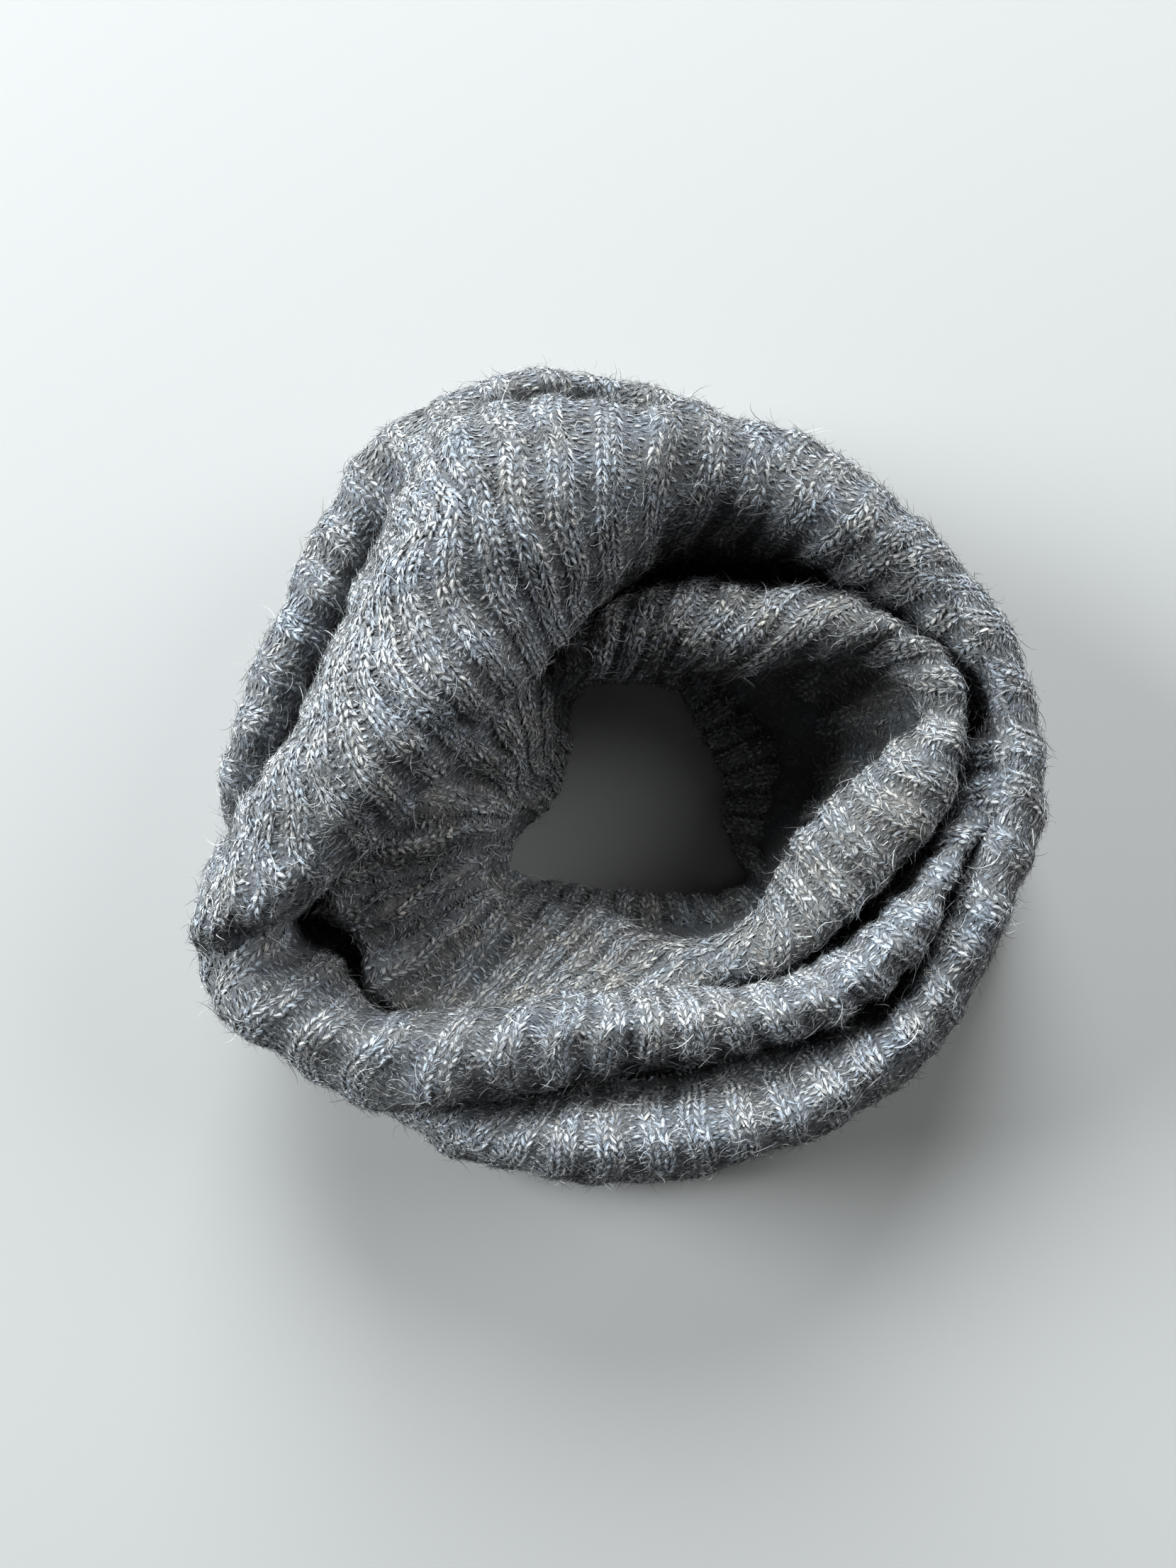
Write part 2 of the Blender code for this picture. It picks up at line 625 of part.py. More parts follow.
def add_object(name, points, faces, colour, collection):
    """A mesh object of its own material."""
    mesh = bpy.data.meshes.new(name)
    mesh.from_pydata(points, [], faces)
    material = bpy.data.materials.new(name + "_wool")
    material.use_nodes = True
    shader = material.node_tree.nodes["Principled BSDF"]
    shader.inputs["Base Color"].default_value = (*colour, 1.0)
    shader.inputs["Roughness"].default_value = 0.95
    mesh.materials.append(material)
    obj = bpy.data.objects.new(name, mesh)
    collection.objects.link(obj)
    return obj


def stand_on_origin(objects):
    """Moves every point so that the middle of the whole scarf's underside is the origin."""
    corners = [vertex.co for obj in objects for vertex in obj.data.vertices]
    lows = Vector(min(corner[axis] for corner in corners) for axis in range(3))
    highs = Vector(max(corner[axis] for corner in corners) for axis in range(3))
    middle = (lows + highs) / 2
    shift = Vector((-middle.x, -middle.y, -lows.z))
    for obj in objects:
        for vertex in obj.data.vertices:
            vertex.co += shift
    print("ring middle at", round(shift.x, 5), round(shift.y, 5), "size", highs - lows)


def main():
    for obj in list(bpy.data.objects):
        bpy.data.objects.remove(obj)
    collection = bpy.data.collections.new("infinity_scarf")
    bpy.context.scene.collection.children.link(collection)
    grey, blue_grey, pale, brown_grey, dark = (
        (0.16, 0.16, 0.17),
        (0.14, 0.15, 0.17),
        (0.20, 0.20, 0.21),
        (0.17, 0.16, 0.16),
        (0.10, 0.10, 0.10),
    )
    stretches = (
        ("lower_fold", LOWER_ROWS, LOWER_ROWS // 2, LOWER_RIBS, NO_DRIFT, blue_grey),
        ("outer_turn", OUTER_ROWS, OUTER_ROWS // 2, OUTER_RIBS, NO_DRIFT, grey),
        ("top_turn", TOP_ROWS, TOP_ROWS // 2, TOP_RIBS, TOP_DRIFT, pale),
        ("inner_turn", INNER_ROWS, INNER_ROWS, INNER_RIBS, INNER_DRIFT, brown_grey),
        ("lining_fold", LINING_ROWS, LINING_ROWS, LINING_RIBS, NO_DRIFT, dark),
    )
    objects = []
    for index, (name, rows, inside_rows, ribs, drift, colour) in enumerate(stretches):
        objects.append(cloth_wall(name, index, rows, inside_rows, ribs, drift, colour, collection))
    objects.append(hidden_layers("hidden_layers", dark, collection))
    stand_on_origin(objects)


main()
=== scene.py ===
"""Infinity scarf in grey melange wool: a 2 x 2 rib tube heaped in a ring, with its stitches and fibres.

Lengths are millimetres in the tables and sizes below, and metres in the meshes. Angles are in degrees round
the ring, anticlockwise seen from above, from +X. r is the distance from the ring's middle and z the height.
"""

import math

import bpy
import numpy as np
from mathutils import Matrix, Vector

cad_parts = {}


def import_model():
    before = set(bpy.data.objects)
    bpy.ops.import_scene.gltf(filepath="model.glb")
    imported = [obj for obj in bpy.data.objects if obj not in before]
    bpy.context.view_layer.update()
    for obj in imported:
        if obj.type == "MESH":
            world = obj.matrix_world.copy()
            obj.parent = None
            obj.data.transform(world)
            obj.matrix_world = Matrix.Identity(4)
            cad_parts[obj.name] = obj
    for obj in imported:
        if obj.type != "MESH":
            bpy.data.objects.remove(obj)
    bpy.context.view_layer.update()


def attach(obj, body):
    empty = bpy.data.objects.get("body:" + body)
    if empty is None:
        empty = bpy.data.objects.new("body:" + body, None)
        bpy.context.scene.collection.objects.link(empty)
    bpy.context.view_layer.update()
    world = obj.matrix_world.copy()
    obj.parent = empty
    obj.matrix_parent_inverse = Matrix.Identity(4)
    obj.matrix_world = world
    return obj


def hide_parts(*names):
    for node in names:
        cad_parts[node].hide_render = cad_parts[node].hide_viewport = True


METRES = 0.001
RING_MIDDLE = (-1.15, 0.51)
SEED = 7

# Where the camera is, over the table, and its lens and sensor
CAMERA = (-13.3, 2.68, 400.0)
LENS = 27.05
SENSOR_WIDTH = 36.0

# Lights, in metres and watts, and the spot that they face; the floor and the backdrop
WINDOWS = (
    ("back_window", (-0.233, 2.663, 1.362), 222.0, (0.88, 0.955, 1.0)),
    ("left_window", (-2.667, 0.715, 1.172), 240.0, (0.88, 0.955, 1.0)),
    ("right_window", (2.306, 1.075, 1.590), 66.0, (0.92, 0.965, 1.0)),
)
WINDOW_SIZE = 1.7
LIT_SPOT = (0, 0, 0.05)
FLOOR_COLOUR = (0.33, 0.322, 0.31, 1.0)
FLOOR_SIZE = 6.0
BACKDROP_COLOUR = (1.0, 0.97, 0.93, 1.0)
BACKDROP_STRENGTH = 0.03

# The wool's slot on each stretch
SLOTS = {
    "lower_fold": "outer_wool",
    "outer_turn": "outer_wool",
    "top_turn": "top_wool",
    "inner_turn": "inside_wool",
    "lining_fold": "inside_wool",
}

# A roll is rounded between its edge and its crest at this share of the run and of the rise. A slope that
# only falls from its edge is left straight.
SHOULDER_RUN = 0.36
SHOULDER_RISE = 0.77

# The groove between the outer turn and the lower fold
TUCK_IN = 5.0

# The lower fold: how far in its underside starts, and where it leaves the table
TOE_IN = 17.0
HEEL_IN = 7.0
HEEL_HEIGHT = 0.8
FOLD_TOP_IN = 8.0

# The lowest layer round the middle hole: height of its edge, and how far out its underside runs
HOLE_EDGE_HEIGHT = 6.0
HOLE_TOE_PAST_TROUGH = 5.0
HOLE_HEEL_OUT = 3.0
HOLE_HEEL_HEIGHT = 0.6

# Lower fold: angle, edge r, edge z, top z, groove z
LOWER_FOLD = (
    (0, 129.5, 13, 25, 28),
    (30, 126, 12, 22.5, 26.5),
    (60, 121.5, 13.5, 25, 28.5),
    (75, 121, 14.5, 27, 30),
    (90, 127, 13.5, 25.5, 28.5),
    (110, 131, 11.5, 21.5, 25.5),
    (130, 129, 12.5, 24, 27.5),
    (150, 125, 14, 26, 29),
    (170, 125, 12.5, 23.5, 26.5),
    (190, 130, 11, 21, 24.5),
    (205, 133, 11.5, 21.5, 24.5),
    (225, 132.5, 12, 22, 25.5),
    (240, 131.5, 13.5, 25, 28.5),
    (255, 130, 14.5, 27.5, 31),
    (270, 128.5, 13.5, 25.5, 29),
    (285, 128.5, 12, 22.5, 26.5),
    (300, 130, 12.5, 23.5, 27),
    (320, 131.5, 14.5, 27, 30.5),
    (345, 131.5, 13.5, 26, 29),
)

# Outer turn: angle, edge r, edge z, crest r, crest z
OUTER_TURN = (
    (0, 121, 46, 107.5, 73),
    (15, 120.5, 46, 109.5, 73.5),
    (30, 117.5, 48, 105, 76.5),
    (45, 115.5, 50, 101, 78.5),
    (60, 114, 50, 99, 79),
    (70, 113.5, 48.5, 105.5, 73.5),
    (78, 114.8, 46, 111, 64.5),
    (85, 118.5, 43.5, 115.5, 57.5),
    (92, 123.5, 42, 118.5, 56.5),
    (105, 128.5, 42, 122.5, 57),
    (120, 129, 48, 121, 66),
    (135, 124.5, 46, 112.5, 60),
    (150, 119, 44, 107.5, 58),
    (165, 118.5, 44, 107.5, 58),
    (179, 122.5, 42, 116, 53),
    (188, 124, 35, 118.5, 41),
    (200, 122.5, 32.5, 116, 37),
    (216, 120.5, 32.5, 114.5, 37),
    (229, 119.5, 35.5, 114, 42),
    (240, 117.5, 43, 111.5, 54),
    (247, 116, 46, 106.5, 67),
    (256, 114.5, 48, 100.5, 73),
    (270, 112.5, 50, 98, 74),
    (285, 111, 50, 98, 74.5),
    (300, 111.5, 50, 99.5, 74.5),
    (315, 112, 50, 101.5, 74),
    (330, 113.5, 50, 103, 73.5),
    (345, 117, 48, 105.5, 72.5),
)

# Groove between the outer turn and the top turn: angle, r, z
FIRST_GROOVE = (
    (0, 104, 70),
    (15, 106.5, 70.5),
    (30, 101.5, 74),
    (45, 95, 77),
    (60, 95.5, 79.5),
    (70, 102.5, 76),
    (78, 108, 67),
    (85, 110.8, 57.5),
    (92, 112.8, 53.5),
    (105, 117, 54.5),
    (113, 118.5, 64),
    (121, 116, 71),
    (128, 109, 66),
    (137, 103, 53),
    (150, 98.5, 45),
    (165, 99.5, 45),
    (175, 105.5, 45),
    (183, 107.4, 43),
    (191, 109.5, 39.5),
    (203, 108.5, 37),
    (217, 107.5, 37),
    (229, 107.5, 41.5),
    (240, 104.5, 48.5),
    (247, 99.5, 48),
    (254, 94, 46),
    (262, 88.5, 45),
    (275, 86, 44),
    (288, 86, 44),
    (302, 89.5, 46),
    (316, 94, 50),
    (332, 97, 52),
    (345, 98, 58),
    (353, 100.8, 65.5),
)

# Top turn: angle, edge r, edge z, crest r, crest z, inner edge r, inner edge z
TOP_TURN = (
    (0, 102, 67, 100, 62, 98.3, 55),
    (15, 105.2, 66.5, 104.2, 62, 103.6, 57.5),
    (30, 99.5, 71.5, 97.8, 67.5, 96.8, 62),
    (45, 93.8, 76.2, 91.5, 73, 88.3, 64),
    (60, 93.5, 79.8, 88.5, 77.5, 81.5, 66),
    (70, 101, 77.5, 94.5, 80.5, 79, 68),
    (78, 106, 71, 91.5, 84, 76, 69),
    (85, 108.5, 65.5, 87.5, 89.5, 70.5, 71),
    (92, 110.4, 63.5, 80.5, 96, 62.5, 73),
    (105, 115, 62, 79, 101.5, 53.5, 78),
    (113, 116, 68.5, 79, 103.5, 49, 80),
    (121, 112, 75.5, 77, 105, 45, 82),
    (128, 106, 71.5, 72, 105.5, 43, 83),
    (135, 99.5, 66, 66, 106, 42, 84),
    (150, 95, 63, 57.5, 106.5, 43, 84),
    (165, 96.5, 63, 58, 105.5, 48, 82),
    (178, 106, 62, 67, 101, 56.5, 78),
    (190, 122.5, 57, 82, 94.5, 70, 75),
    (195, 128.5, 56.5, 92, 91.5, 81, 75),
    (198, 132, 56, 104, 87, 94, 71),
    (201, 134.5, 55, 116.5, 71, 110, 53),
    (204, 135.5, 54.5, 117.5, 71.5, 109.5, 53),
    (208, 134, 54, 116.5, 76, 104, 58),
    (211, 131.5, 54, 114.5, 77, 99.5, 60),
    (217, 127, 54, 108.5, 78, 98.5, 60),
    (225, 122.5, 54, 99.5, 80, 90, 62),
    (232, 116.5, 57, 91, 80.5, 79, 62),
    (240, 104.3, 61, 83, 81, 71, 63),
    (250, 93, 60, 74, 80, 62, 62),
    (260, 83.5, 60, 67, 78, 59.5, 60),
    (275, 78.5, 58, 64.5, 78, 57, 60),
    (290, 80, 58, 66.5, 78, 60, 62),
    (302, 85, 58, 72.5, 79, 66.3, 65),
    (316, 90.7, 59, 78.5, 80, 72.5, 64),
    (332, 93.8, 60, 84, 79, 78.7, 62.5),
    (345, 96, 64, 90, 72, 85.8, 61),
    (353, 99, 66, 96, 66, 92.5, 58),
)

# Groove or hollow between the top turn and the inner turn: angle, r, z
SECOND_GROOVE = (
    (0, 96.3, 49),
    (15, 102.2, 51),
    (30, 96, 46),
    (45, 87, 34),
    (60, 77, 27),
    (75, 70.5, 28),
    (90, 61.5, 33),
    (105, 53, 38),
    (120, 49.6, 45.5),
    (135, 50, 62),
    (150, 51, 66),
    (165, 55, 64),
    (178, 63, 59),
    (190, 76, 50),
    (195, 86.5, 46),
    (198, 97, 42),
    (201, 104.5, 34),
    (204, 101.5, 32),
    (208, 97.5, 34),
    (212, 96.5, 40),
    (218, 98.5, 50),
    (226, 89.5, 54),
    (240, 72, 56),
    (255, 61, 55),
    (270, 58.5, 53),
    (285, 59, 55),
    (300, 65.7, 55),
    (315, 71.5, 52.5),
    (330, 77.3, 50.5),
    (345, 84.8, 49),
    (353, 91.5, 50),
)

# Inner turn: angle, edge r, edge z, crest r, crest z, inner edge r, inner edge z
INNER_TURN = (
    (0, 93, 60, 82, 74, 62, 60),
    (8, 97, 60, 89, 74, 74.5, 60),
    (15, 99.8, 60, 95, 71, 87.5, 60),
    (22, 98.5, 60, 94, 71, 86.5, 60),
    (30, 93.5, 57, 88.5, 71, 80, 58),
    (37, 88.5, 55, 80, 72, 65, 57),
    (45, 83.5, 54, 68.5, 71, 49, 56),
    (60, 71, 53, 57, 70, 41, 56),
    (75, 64, 52, 49.5, 68, 37, 54),
    (90, 58.5, 50, 45.5, 66, 34.5, 52),
    (105, 50.5, 48, 42, 62, 35, 50),
    (115, 47.5, 46, 41.5, 54, 35.5, 44),
    (123, 46.5, 46, 42.5, 46, 37, 32),
    (135, 48, 58, 44.5, 50, 33, 24),
    (150, 49, 61, 45, 54, 29.5, 24),
    (165, 53, 59, 47, 52, 30, 22),
    (178, 61, 55, 53, 48, 33, 20),
    (188, 71, 52, 58, 54, 36, 30),
    (194, 81.5, 50, 64, 54, 39, 31),
    (198, 91.5, 54, 69, 50, 41.5, 26),
    (201, 94.5, 55, 71, 48, 44, 24),
    (206, 91.5, 57, 75, 59, 48, 34),
    (211, 91.5, 54, 77, 51, 51, 27),
    (217, 95.5, 57, 80, 57, 52, 32),
    (222, 93.5, 58, 75, 53, 50, 26),
    (228, 85, 53, 70, 46, 46, 20),
    (240, 70, 54.5, 61, 48, 41, 20),
    (255, 59, 53, 53, 46, 38, 22),
    (270, 56.5, 51, 51.5, 45.5, 40.5, 26),
    (285, 57, 54, 53.5, 51.5, 47, 35),
    (300, 63.5, 57, 59, 59, 51, 44),
    (315, 68.5, 59, 62, 66, 51, 48),
    (330, 73.8, 58, 65, 71, 50, 52),
    (345, 81.3, 58, 72, 73, 51.5, 56),
)

# Lowest layer inside the ring: angle, then r and z of its tuck, wall, trough and fold, and the hole's r
LINING = (
    (0, 66, 46, 62.5, 26, 55, 10, 44, 17, 34.2),
    (15, 89, 46, 70, 25, 56, 9, 43.5, 16, 33),
    (30, 81, 44, 68, 23, 55.5, 9, 42.5, 15.5, 31.8),
    (45, 56, 41, 58, 24, 52, 12, 43, 14, 33.5),
    (60, 47.5, 41, 52, 25, 49, 15, 44, 12.5, 37.5),
    (75, 43.5, 39, 50, 24, 48, 15, 43.5, 12.5, 37),
    (90, 40.5, 37, 47.5, 24, 46.5, 15, 42.5, 12.5, 36.5),
    (105, 39, 36, 44.5, 23, 44.5, 15, 41.5, 12, 36.5),
    (117, 37.5, 31, 40, 21, 40.5, 15, 38.5, 11.5, 35),
    (126, 35, 25, 35, 18.5, 35, 14.5, 33.8, 11, 30.8),
    (138, 30.5, 19.5, 29, 16.3, 27.7, 13.5, 26.5, 10.6, 24.2),
    (150, 27.5, 19.5, 26.3, 16.3, 25.2, 13.5, 24.3, 10.6, 22.4),
    (168, 27.5, 18, 26, 15.5, 24.8, 13, 23.6, 10.5, 21.6),
    (180, 30.5, 17, 28.5, 15, 26.6, 13, 24.9, 10.7, 22.5),
    (190, 34.5, 21, 32, 17, 30, 13.8, 28.2, 11, 25.5),
    (200, 41.5, 18.5, 40, 15.8, 38.3, 13.2, 36.5, 10.8, 33.6),
    (208, 49.5, 23, 48.7, 17.5, 47.8, 14, 46.6, 11, 44),
    (215, 51.5, 24, 51, 18.5, 50.3, 14.5, 49.3, 11.2, 46.7),
    (224, 48.5, 19.5, 47.7, 16.5, 46.7, 13.5, 45.4, 10.8, 42.8),
    (236, 42.5, 16.5, 42, 14.5, 41.3, 12.7, 40, 10.8, 37.2),
    (250, 38.5, 18, 39.5, 14.5, 39.3, 12.3, 38.3, 10.6, 35.5),
    (268, 41, 21, 42, 16.5, 41, 12.8, 38.6, 11.5, 34),
    (285, 49, 29, 49.5, 19.5, 46.5, 13, 42, 12.5, 36),
    (300, 53.5, 36, 55, 24, 53, 14.5, 48, 12.5, 40.6),
    (312, 54.5, 38, 58, 23, 57.5, 14, 53, 13, 46.2),
    (322, 54.5, 40, 60.5, 24, 60.5, 15, 57, 13, 50.5),
    (332, 54, 41, 58, 24, 55, 14, 49, 14.5, 41.5),
    (342, 54.5, 43, 57, 26, 52.5, 13, 44.5, 16.5, 35.5),
    (350, 57.5, 45, 58, 26, 53, 12, 43.5, 17, 34.2),
)

# How far a rib swings round the ring from one end of its stretch to the other: angle, degrees. Ribs run at
# a slant on both sides of the crease in the top turn, so its angles go on past a full turn.
TOP_SWING = (
    (160, -8), (201, -8), (240, -4), (260, 0), (425, 0), (465, 3), (485, 12), (497, 24), (510, 38),
    (520, 46), (530, 46), (540, 40), (550, 34), (562, 30), (640, 30),
)
OUTER_SWING = (
    (0, 10), (25, 20), (50, 5), (90, 0), (165, 0), (190, 18), (208, 0), (225, 3), (240, 18), (260, 4),
    (300, 0),
)
INNER_SWING = (
    (0, 24), (18, 10), (60, 20), (100, 30), (140, 45), (165, 40), (195, 0), (210, 8), (225, -4),
    (240, 10), (255, 26), (275, 42), (290, 50), (300, 44), (315, 24), (330, 16), (345, 24),
)
LINING_SWING = (
    (0, 0), (140, 0), (170, 30), (185, 30), (210, 0), (225, 0),
)
LOWER_SWING = ((0, 0),)

# Where the top turn's two ribbed panels meet in a crease, and from where and how fast its ribs swing
CREASE_ANGLE = 201.5
SWING_FROM = 0.35
SWING_OVER = 0.20

# From one rib to the next, round the ring: angle, degrees
EVEN_SPACING = ((0, 7.5), (180, 7.5))
TOP_SPACING = (
    (0, 7.4), (30, 7.4), (50, 8), (70, 8.6), (95, 9), (130, 9.2), (145, 8.2), (165, 9), (180, 8.8),
    (190, 7), (205, 6.8), (217, 7.6), (232, 8.6), (250, 9.6), (285, 10), (310, 8.9), (335, 7.8),
)
INNER_SPACING = (
    (0, 8.6), (18, 7), (35, 9), (60, 11), (100, 14), (140, 15), (170, 13), (200, 10.5), (225, 10.5),
    (245, 12), (270, 12.5), (300, 11), (325, 10), (345, 9.4),
)
LINING_SPACING = ((0, 12.0), (180, 13.0))

# The fine surface that everything is laid on: angles round the ring, points along each stretch
TURNS = 720
GRID_ANGLES = np.arange(TURNS) * 360 / TURNS
LINE_STEPS = 8
SAMPLES = 97

# How uneven the cloth is: height, length of its waves, how far over the table it is at its full height, and
# the number and range of waves that add up to it
LUMP = 0.9
LUMP_LENGTH = 34
LUMP_FREE_HEIGHT = 12
UNEVEN_WAVES = 14
UNEVEN_RANGE = (0.7, 1.5)

# Cloth shell: how far it and the middles of the stitches lie under the fine surface, its thickness, its
# lowest point, and its mesh
SHELL_SINK = 1.0
SHELL_WALL = 1.6
SHELL_LOWEST = 0.15
SHELL_COLUMNS = 360
SHELL_INSIDE_ROWS = 4
SHELL_ROW = 4.0

# Ribs: how far their knit columns stand over the purl ones on each stretch, and the share of that height at
# the edge between the two
RIB_HEIGHTS = {
    "lower_fold": 0.8, "outer_turn": 0.75, "top_turn": 1.3, "inner_turn": 1.3, "lining_fold": 1.3,
}
EDGE_RISE = 0.5

# A rib's even width, the share of it that is knit, how that share grows where the rib is crowded, and its
# range
EVEN_RIB = 13.0
KNIT_SHARE = 0.60
KNIT_SHARE_PER_MM = 0.03
KNIT_SHARE_RANGE = (0.5, 0.72)

# How a rib fades to this share of its height at both ends of a stretch, and how fast
RIB_AT_ENDS = 0.4
RIB_FADE = 5

# How far a rib wanders, as a share of its width, and over what length; the steps that find the rib at a
# place; and the steepest that its sides may be
RIB_WANDER = 0.10
RIB_WANDER_LENGTH = 30
RIB_SEARCH_STEPS = 16
STEEPEST_RIB = 0.9

# The crease between the two panels: depth, half width, where along the stretch it starts and over how much
# it deepens, and how many ribs past a full turn may still reach it on either side
CREASE_DEPTH = 1.2
CREASE_HALF_WIDTH = 1.8
CREASE_FROM = 0.42
CREASE_FADE = 0.15
CREASE_SPARE_RIBS = 8

# Rows of stitches: from one to the next, how far the last may pass the end of the stretch, and the steps
# that follow a column
ROW_PITCH = 2.45
ROW_PAST_END = 0.4
COLUMN_STEPS = 121

# Strands of each leg of yarn: how far beside its middle, width, and share of the leg's length. Purl bars
# have only the first ones. In wider columns the strands lie further apart, within a range.
STRANDS = ((0.0, 1.05, 1.0), (-0.45, 0.60, 0.9), (0.45, 0.60, 0.9))
PURL_STRANDS = 2
EVEN_COLUMN = 4
APART_RANGE = (0.6, 1.3)

# How sharply strands narrow to their points
POINT_POWER = 2.2

# Knit legs: length; how far aside they lean, as a share of their column's width, over how far along; how far
# they rise; and arch for their width
KNIT_LEG = 3.3
KNIT_LEAN = (0.36, 3.5)
KNIT_RISE = 0.06
KNIT_ARCH = 0.36

# Purl bars: length for their column's width, shortest and longest, width and arch
PURL_BAR = 1.1
PURL_BAR_RANGE = (1.9, 3.2)
PURL_BAR_WIDTH = 0.9
PURL_ARCH = 0.30

# How unevenly the strands lie: lean in radians, aside and along in millimetres, sunk to raised, and roll
LEAN_SPREAD = 0.21
ASIDE_SPREAD = 0.14
ALONG_SPREAD = 0.3
DEPTH_RANGE = (-0.1, 0.15)
ROLL_SPREAD = 0.22

# How much their lengths, widths and arches vary
LENGTH_RANGE = (0.65, 1.15)
WIDTH_RANGE = (0.7, 1.25)
ARCH_RANGE = (0.6, 1.3)

# Their tones, from 0 dark to 1 light: a stitch's mean and spread, the spread of its legs and of their
# strands, the light strands and their share, the painted shade on purl bars in their sunken columns, and how
# much darker side strands are
STITCH_TONE = (0.52, 0.14)
LEG_TONE_SPREAD = 0.12
STRAND_TONE_SPREAD = 0.13
LIGHT_TONES = (0.75, 1.0)
LIGHT_SHARE = 0.18
PURL_PAINTED_SHADE = 0.18
SIDE_DARKER = 0.08

# Painted light on the ground round the stitches: high round knit strands on the raised columns, low, for
# painted shade, round purl bars in the sunken columns
KNIT_GROUND_PAINTED_LIGHT = 0.9
PURL_GROUND_PAINTED_LIGHT = 0.15

# Felted ground: specks and clouds and the share of each, what is taken off their sum, and how much painted
# light it gets on the raised knit columns over the painted shade of the sunken purl ones
SPECKLE = {"scale": 900.0, "detail": 3.0, "Roughness": 0.7}
CLOUDS = {"scale": 230.0, "detail": 2.0}
SPECKLE_SHARE = 0.9
CLOUD_SHARE = 0.5
GROUND_DARKER = 0.72
GROUND_RIB_PAINTED_LIGHT = 0.20

# Yarn: how sharply a strand ends at its sides and ends, the streaks along it and how they shift from one
# shade to the next, how strong they and the specks are, and how round a strand looks
SIDE_POWER = 2.0
END_POWER = 3.0
STREAKS = {"scale": 1.6, "detail": 2.0}
STREAK_ALONG = 1.6
STREAK_ACROSS = 5.0
SHADE_ALONG = 37.0
SHADE_ACROSS = 91.0
STREAK_STRENGTH = 0.9
SPECK_STRENGTH = 0.5
ROUNDNESS = 0.6

# Hairs drawn on the wool: scale, width and shift of each kind, how much lighter they are, and their rise
THREADS = ((210.0, 0.022, 1.7), (330.0, 0.03, 5.1))
HAIR_LIGHTER = 0.22
HAIR_RISE = 0.6

# Tints from blue to brown: how much of them drifts slowly over the cloth, and how much is each strand's own
TINTS = ((0.32, (0.88, 0.98, 1.10)), (0.68, (1.07, 1.0, 0.91)))
DRIFT = {"scale": 75.0, "detail": 3.0}
SLOW_TINT = 0.6
OWN_TINT = 0.32
OWN_TINT_STEPS = 9000.0
# The inside and the hidden layers are tinted browner: painted warm light bounced into their shade
INSIDE_BOUNCE_TINT = 0.02
DEEP_BOUNCE_TINT = 0.05

# Wool's tones from dark to light, and how the inside and the hidden layers differ from them: painted shade
# and painted brown bounced light, a little on the inside and much more on the hidden layers in the deep
# hollows
TONES = (
    (0.0, (0.083, 0.084, 0.087)),
    (0.35, (0.190, 0.192, 0.197)),
    (0.65, (0.335, 0.339, 0.346)),
    (1.0, (0.580, 0.582, 0.578)),
)
INSIDE_SHADE_AND_BOUNCE = (0.97, 0.955, 0.93)
DEEP_SHADE_AND_BOUNCE = (0.38, 0.34, 0.29)
FIBRE_TONES = ((0.0, (0.03, 0.03, 0.03)), (0.70, (0.16, 0.16, 0.16)), (1.0, (0.60, 0.60, 0.59)))

# Loose fibres: how many, how long, how wide, how far they stand up and roll over, how much they curl, their
# seed and their blade; then how high their roots are, and how far out, for their length, middle and tip are
FUZZ = {
    "per_cm2": 46, "lengths": (1.5, 4.0), "width": 0.12, "rise": 0.75, "roll": 0.6, "curl": (0.3, 1.2),
    "seed": 20, "blade": {"Stations": 3, "Thinness": 0.035},
}
CURLS = {
    "per_cm2": 10, "lengths": (3.0, 7.0), "width": 0.10, "rise": 0.45, "roll": 0.5, "curl": (0.4, 1.4),
    "seed": 30, "blade": {"Stations": 4, "Thinness": 0.02},
}
LONG_HAIRS = {
    "per_cm2": 10, "lengths": (4.0, 12.0), "width": 0.13, "rise": 1.2, "roll": 0.5, "curl": (0.2, 1.1),
    "seed": 40, "blade": {"Stations": 6, "Thinness": 0.012},
}
FIBRE_ROOTS = (0.2, 0.7)
FIBRE_MIDDLE = 0.55
FIBRE_TIP = 0.6

# Stitches, fibres and the roots of fibres that would lie lower than this over the table are left out
STITCH_FREE_HEIGHT = 0.5
FIBRE_FREE_HEIGHT = 0.6
ROOT_FREE_HEIGHT = 1.5


def round_ring(table, angles):
    """The columns of a table at these angles, smooth all the way round, with no overshoot between rows."""
    rows = np.array(table, float)
    at = np.concatenate((rows[-2:, 0] - 360, rows[:, 0], rows[:2, 0] + 360))
    values = np.concatenate((rows[-2:, 1:], rows[:, 1:], rows[:2, 1:]))
    slopes = np.diff(values, axis=0) / np.diff(at)[:, None]
    before, after = slopes[:-1], slopes[1:]
    same_way = before * after > 0
    gentle = np.where(same_way, 2 * before * after / np.where(same_way, before + after, 1), 0)
    angles = np.asarray(angles, float) % 360
    k = np.searchsorted(at, angles, side="right") - 1
    gap = (at[k + 1] - at[k])[:, None]
    share = (angles[:, None] - at[k][:, None]) / gap
    left = 1 - share
    start, end = gentle[k - 1] * gap, gentle[k] * gap
    return (
        values[k] * (1 + 2 * share) * left**2
        + values[k + 1] * (1 + 2 * left) * share**2
        + start * share * left**2
        - end * left * share**2
    )


def shoulder(edge, crest):
    """The point that rounds a roll between its edge and its crest, or on the slope where nothing rises."""
    run, rise = (crest - edge).T
    share = np.where(rise > 0, SHOULDER_RISE, SHOULDER_RUN)
    return np.stack((edge[:, 0] + run * SHOULDER_RUN, edge[:, 1] + rise * share), axis=1)


def roll(values):
    """The points over a roll from its edge, crest and inner edge, with a rounded shoulder between each."""
    edge, crest, inner_edge = values[:, 0:2], values[:, 2:4], values[:, 4:6]
    return [edge, shoulder(edge, crest), crest, shoulder(inner_edge, crest), inner_edge]


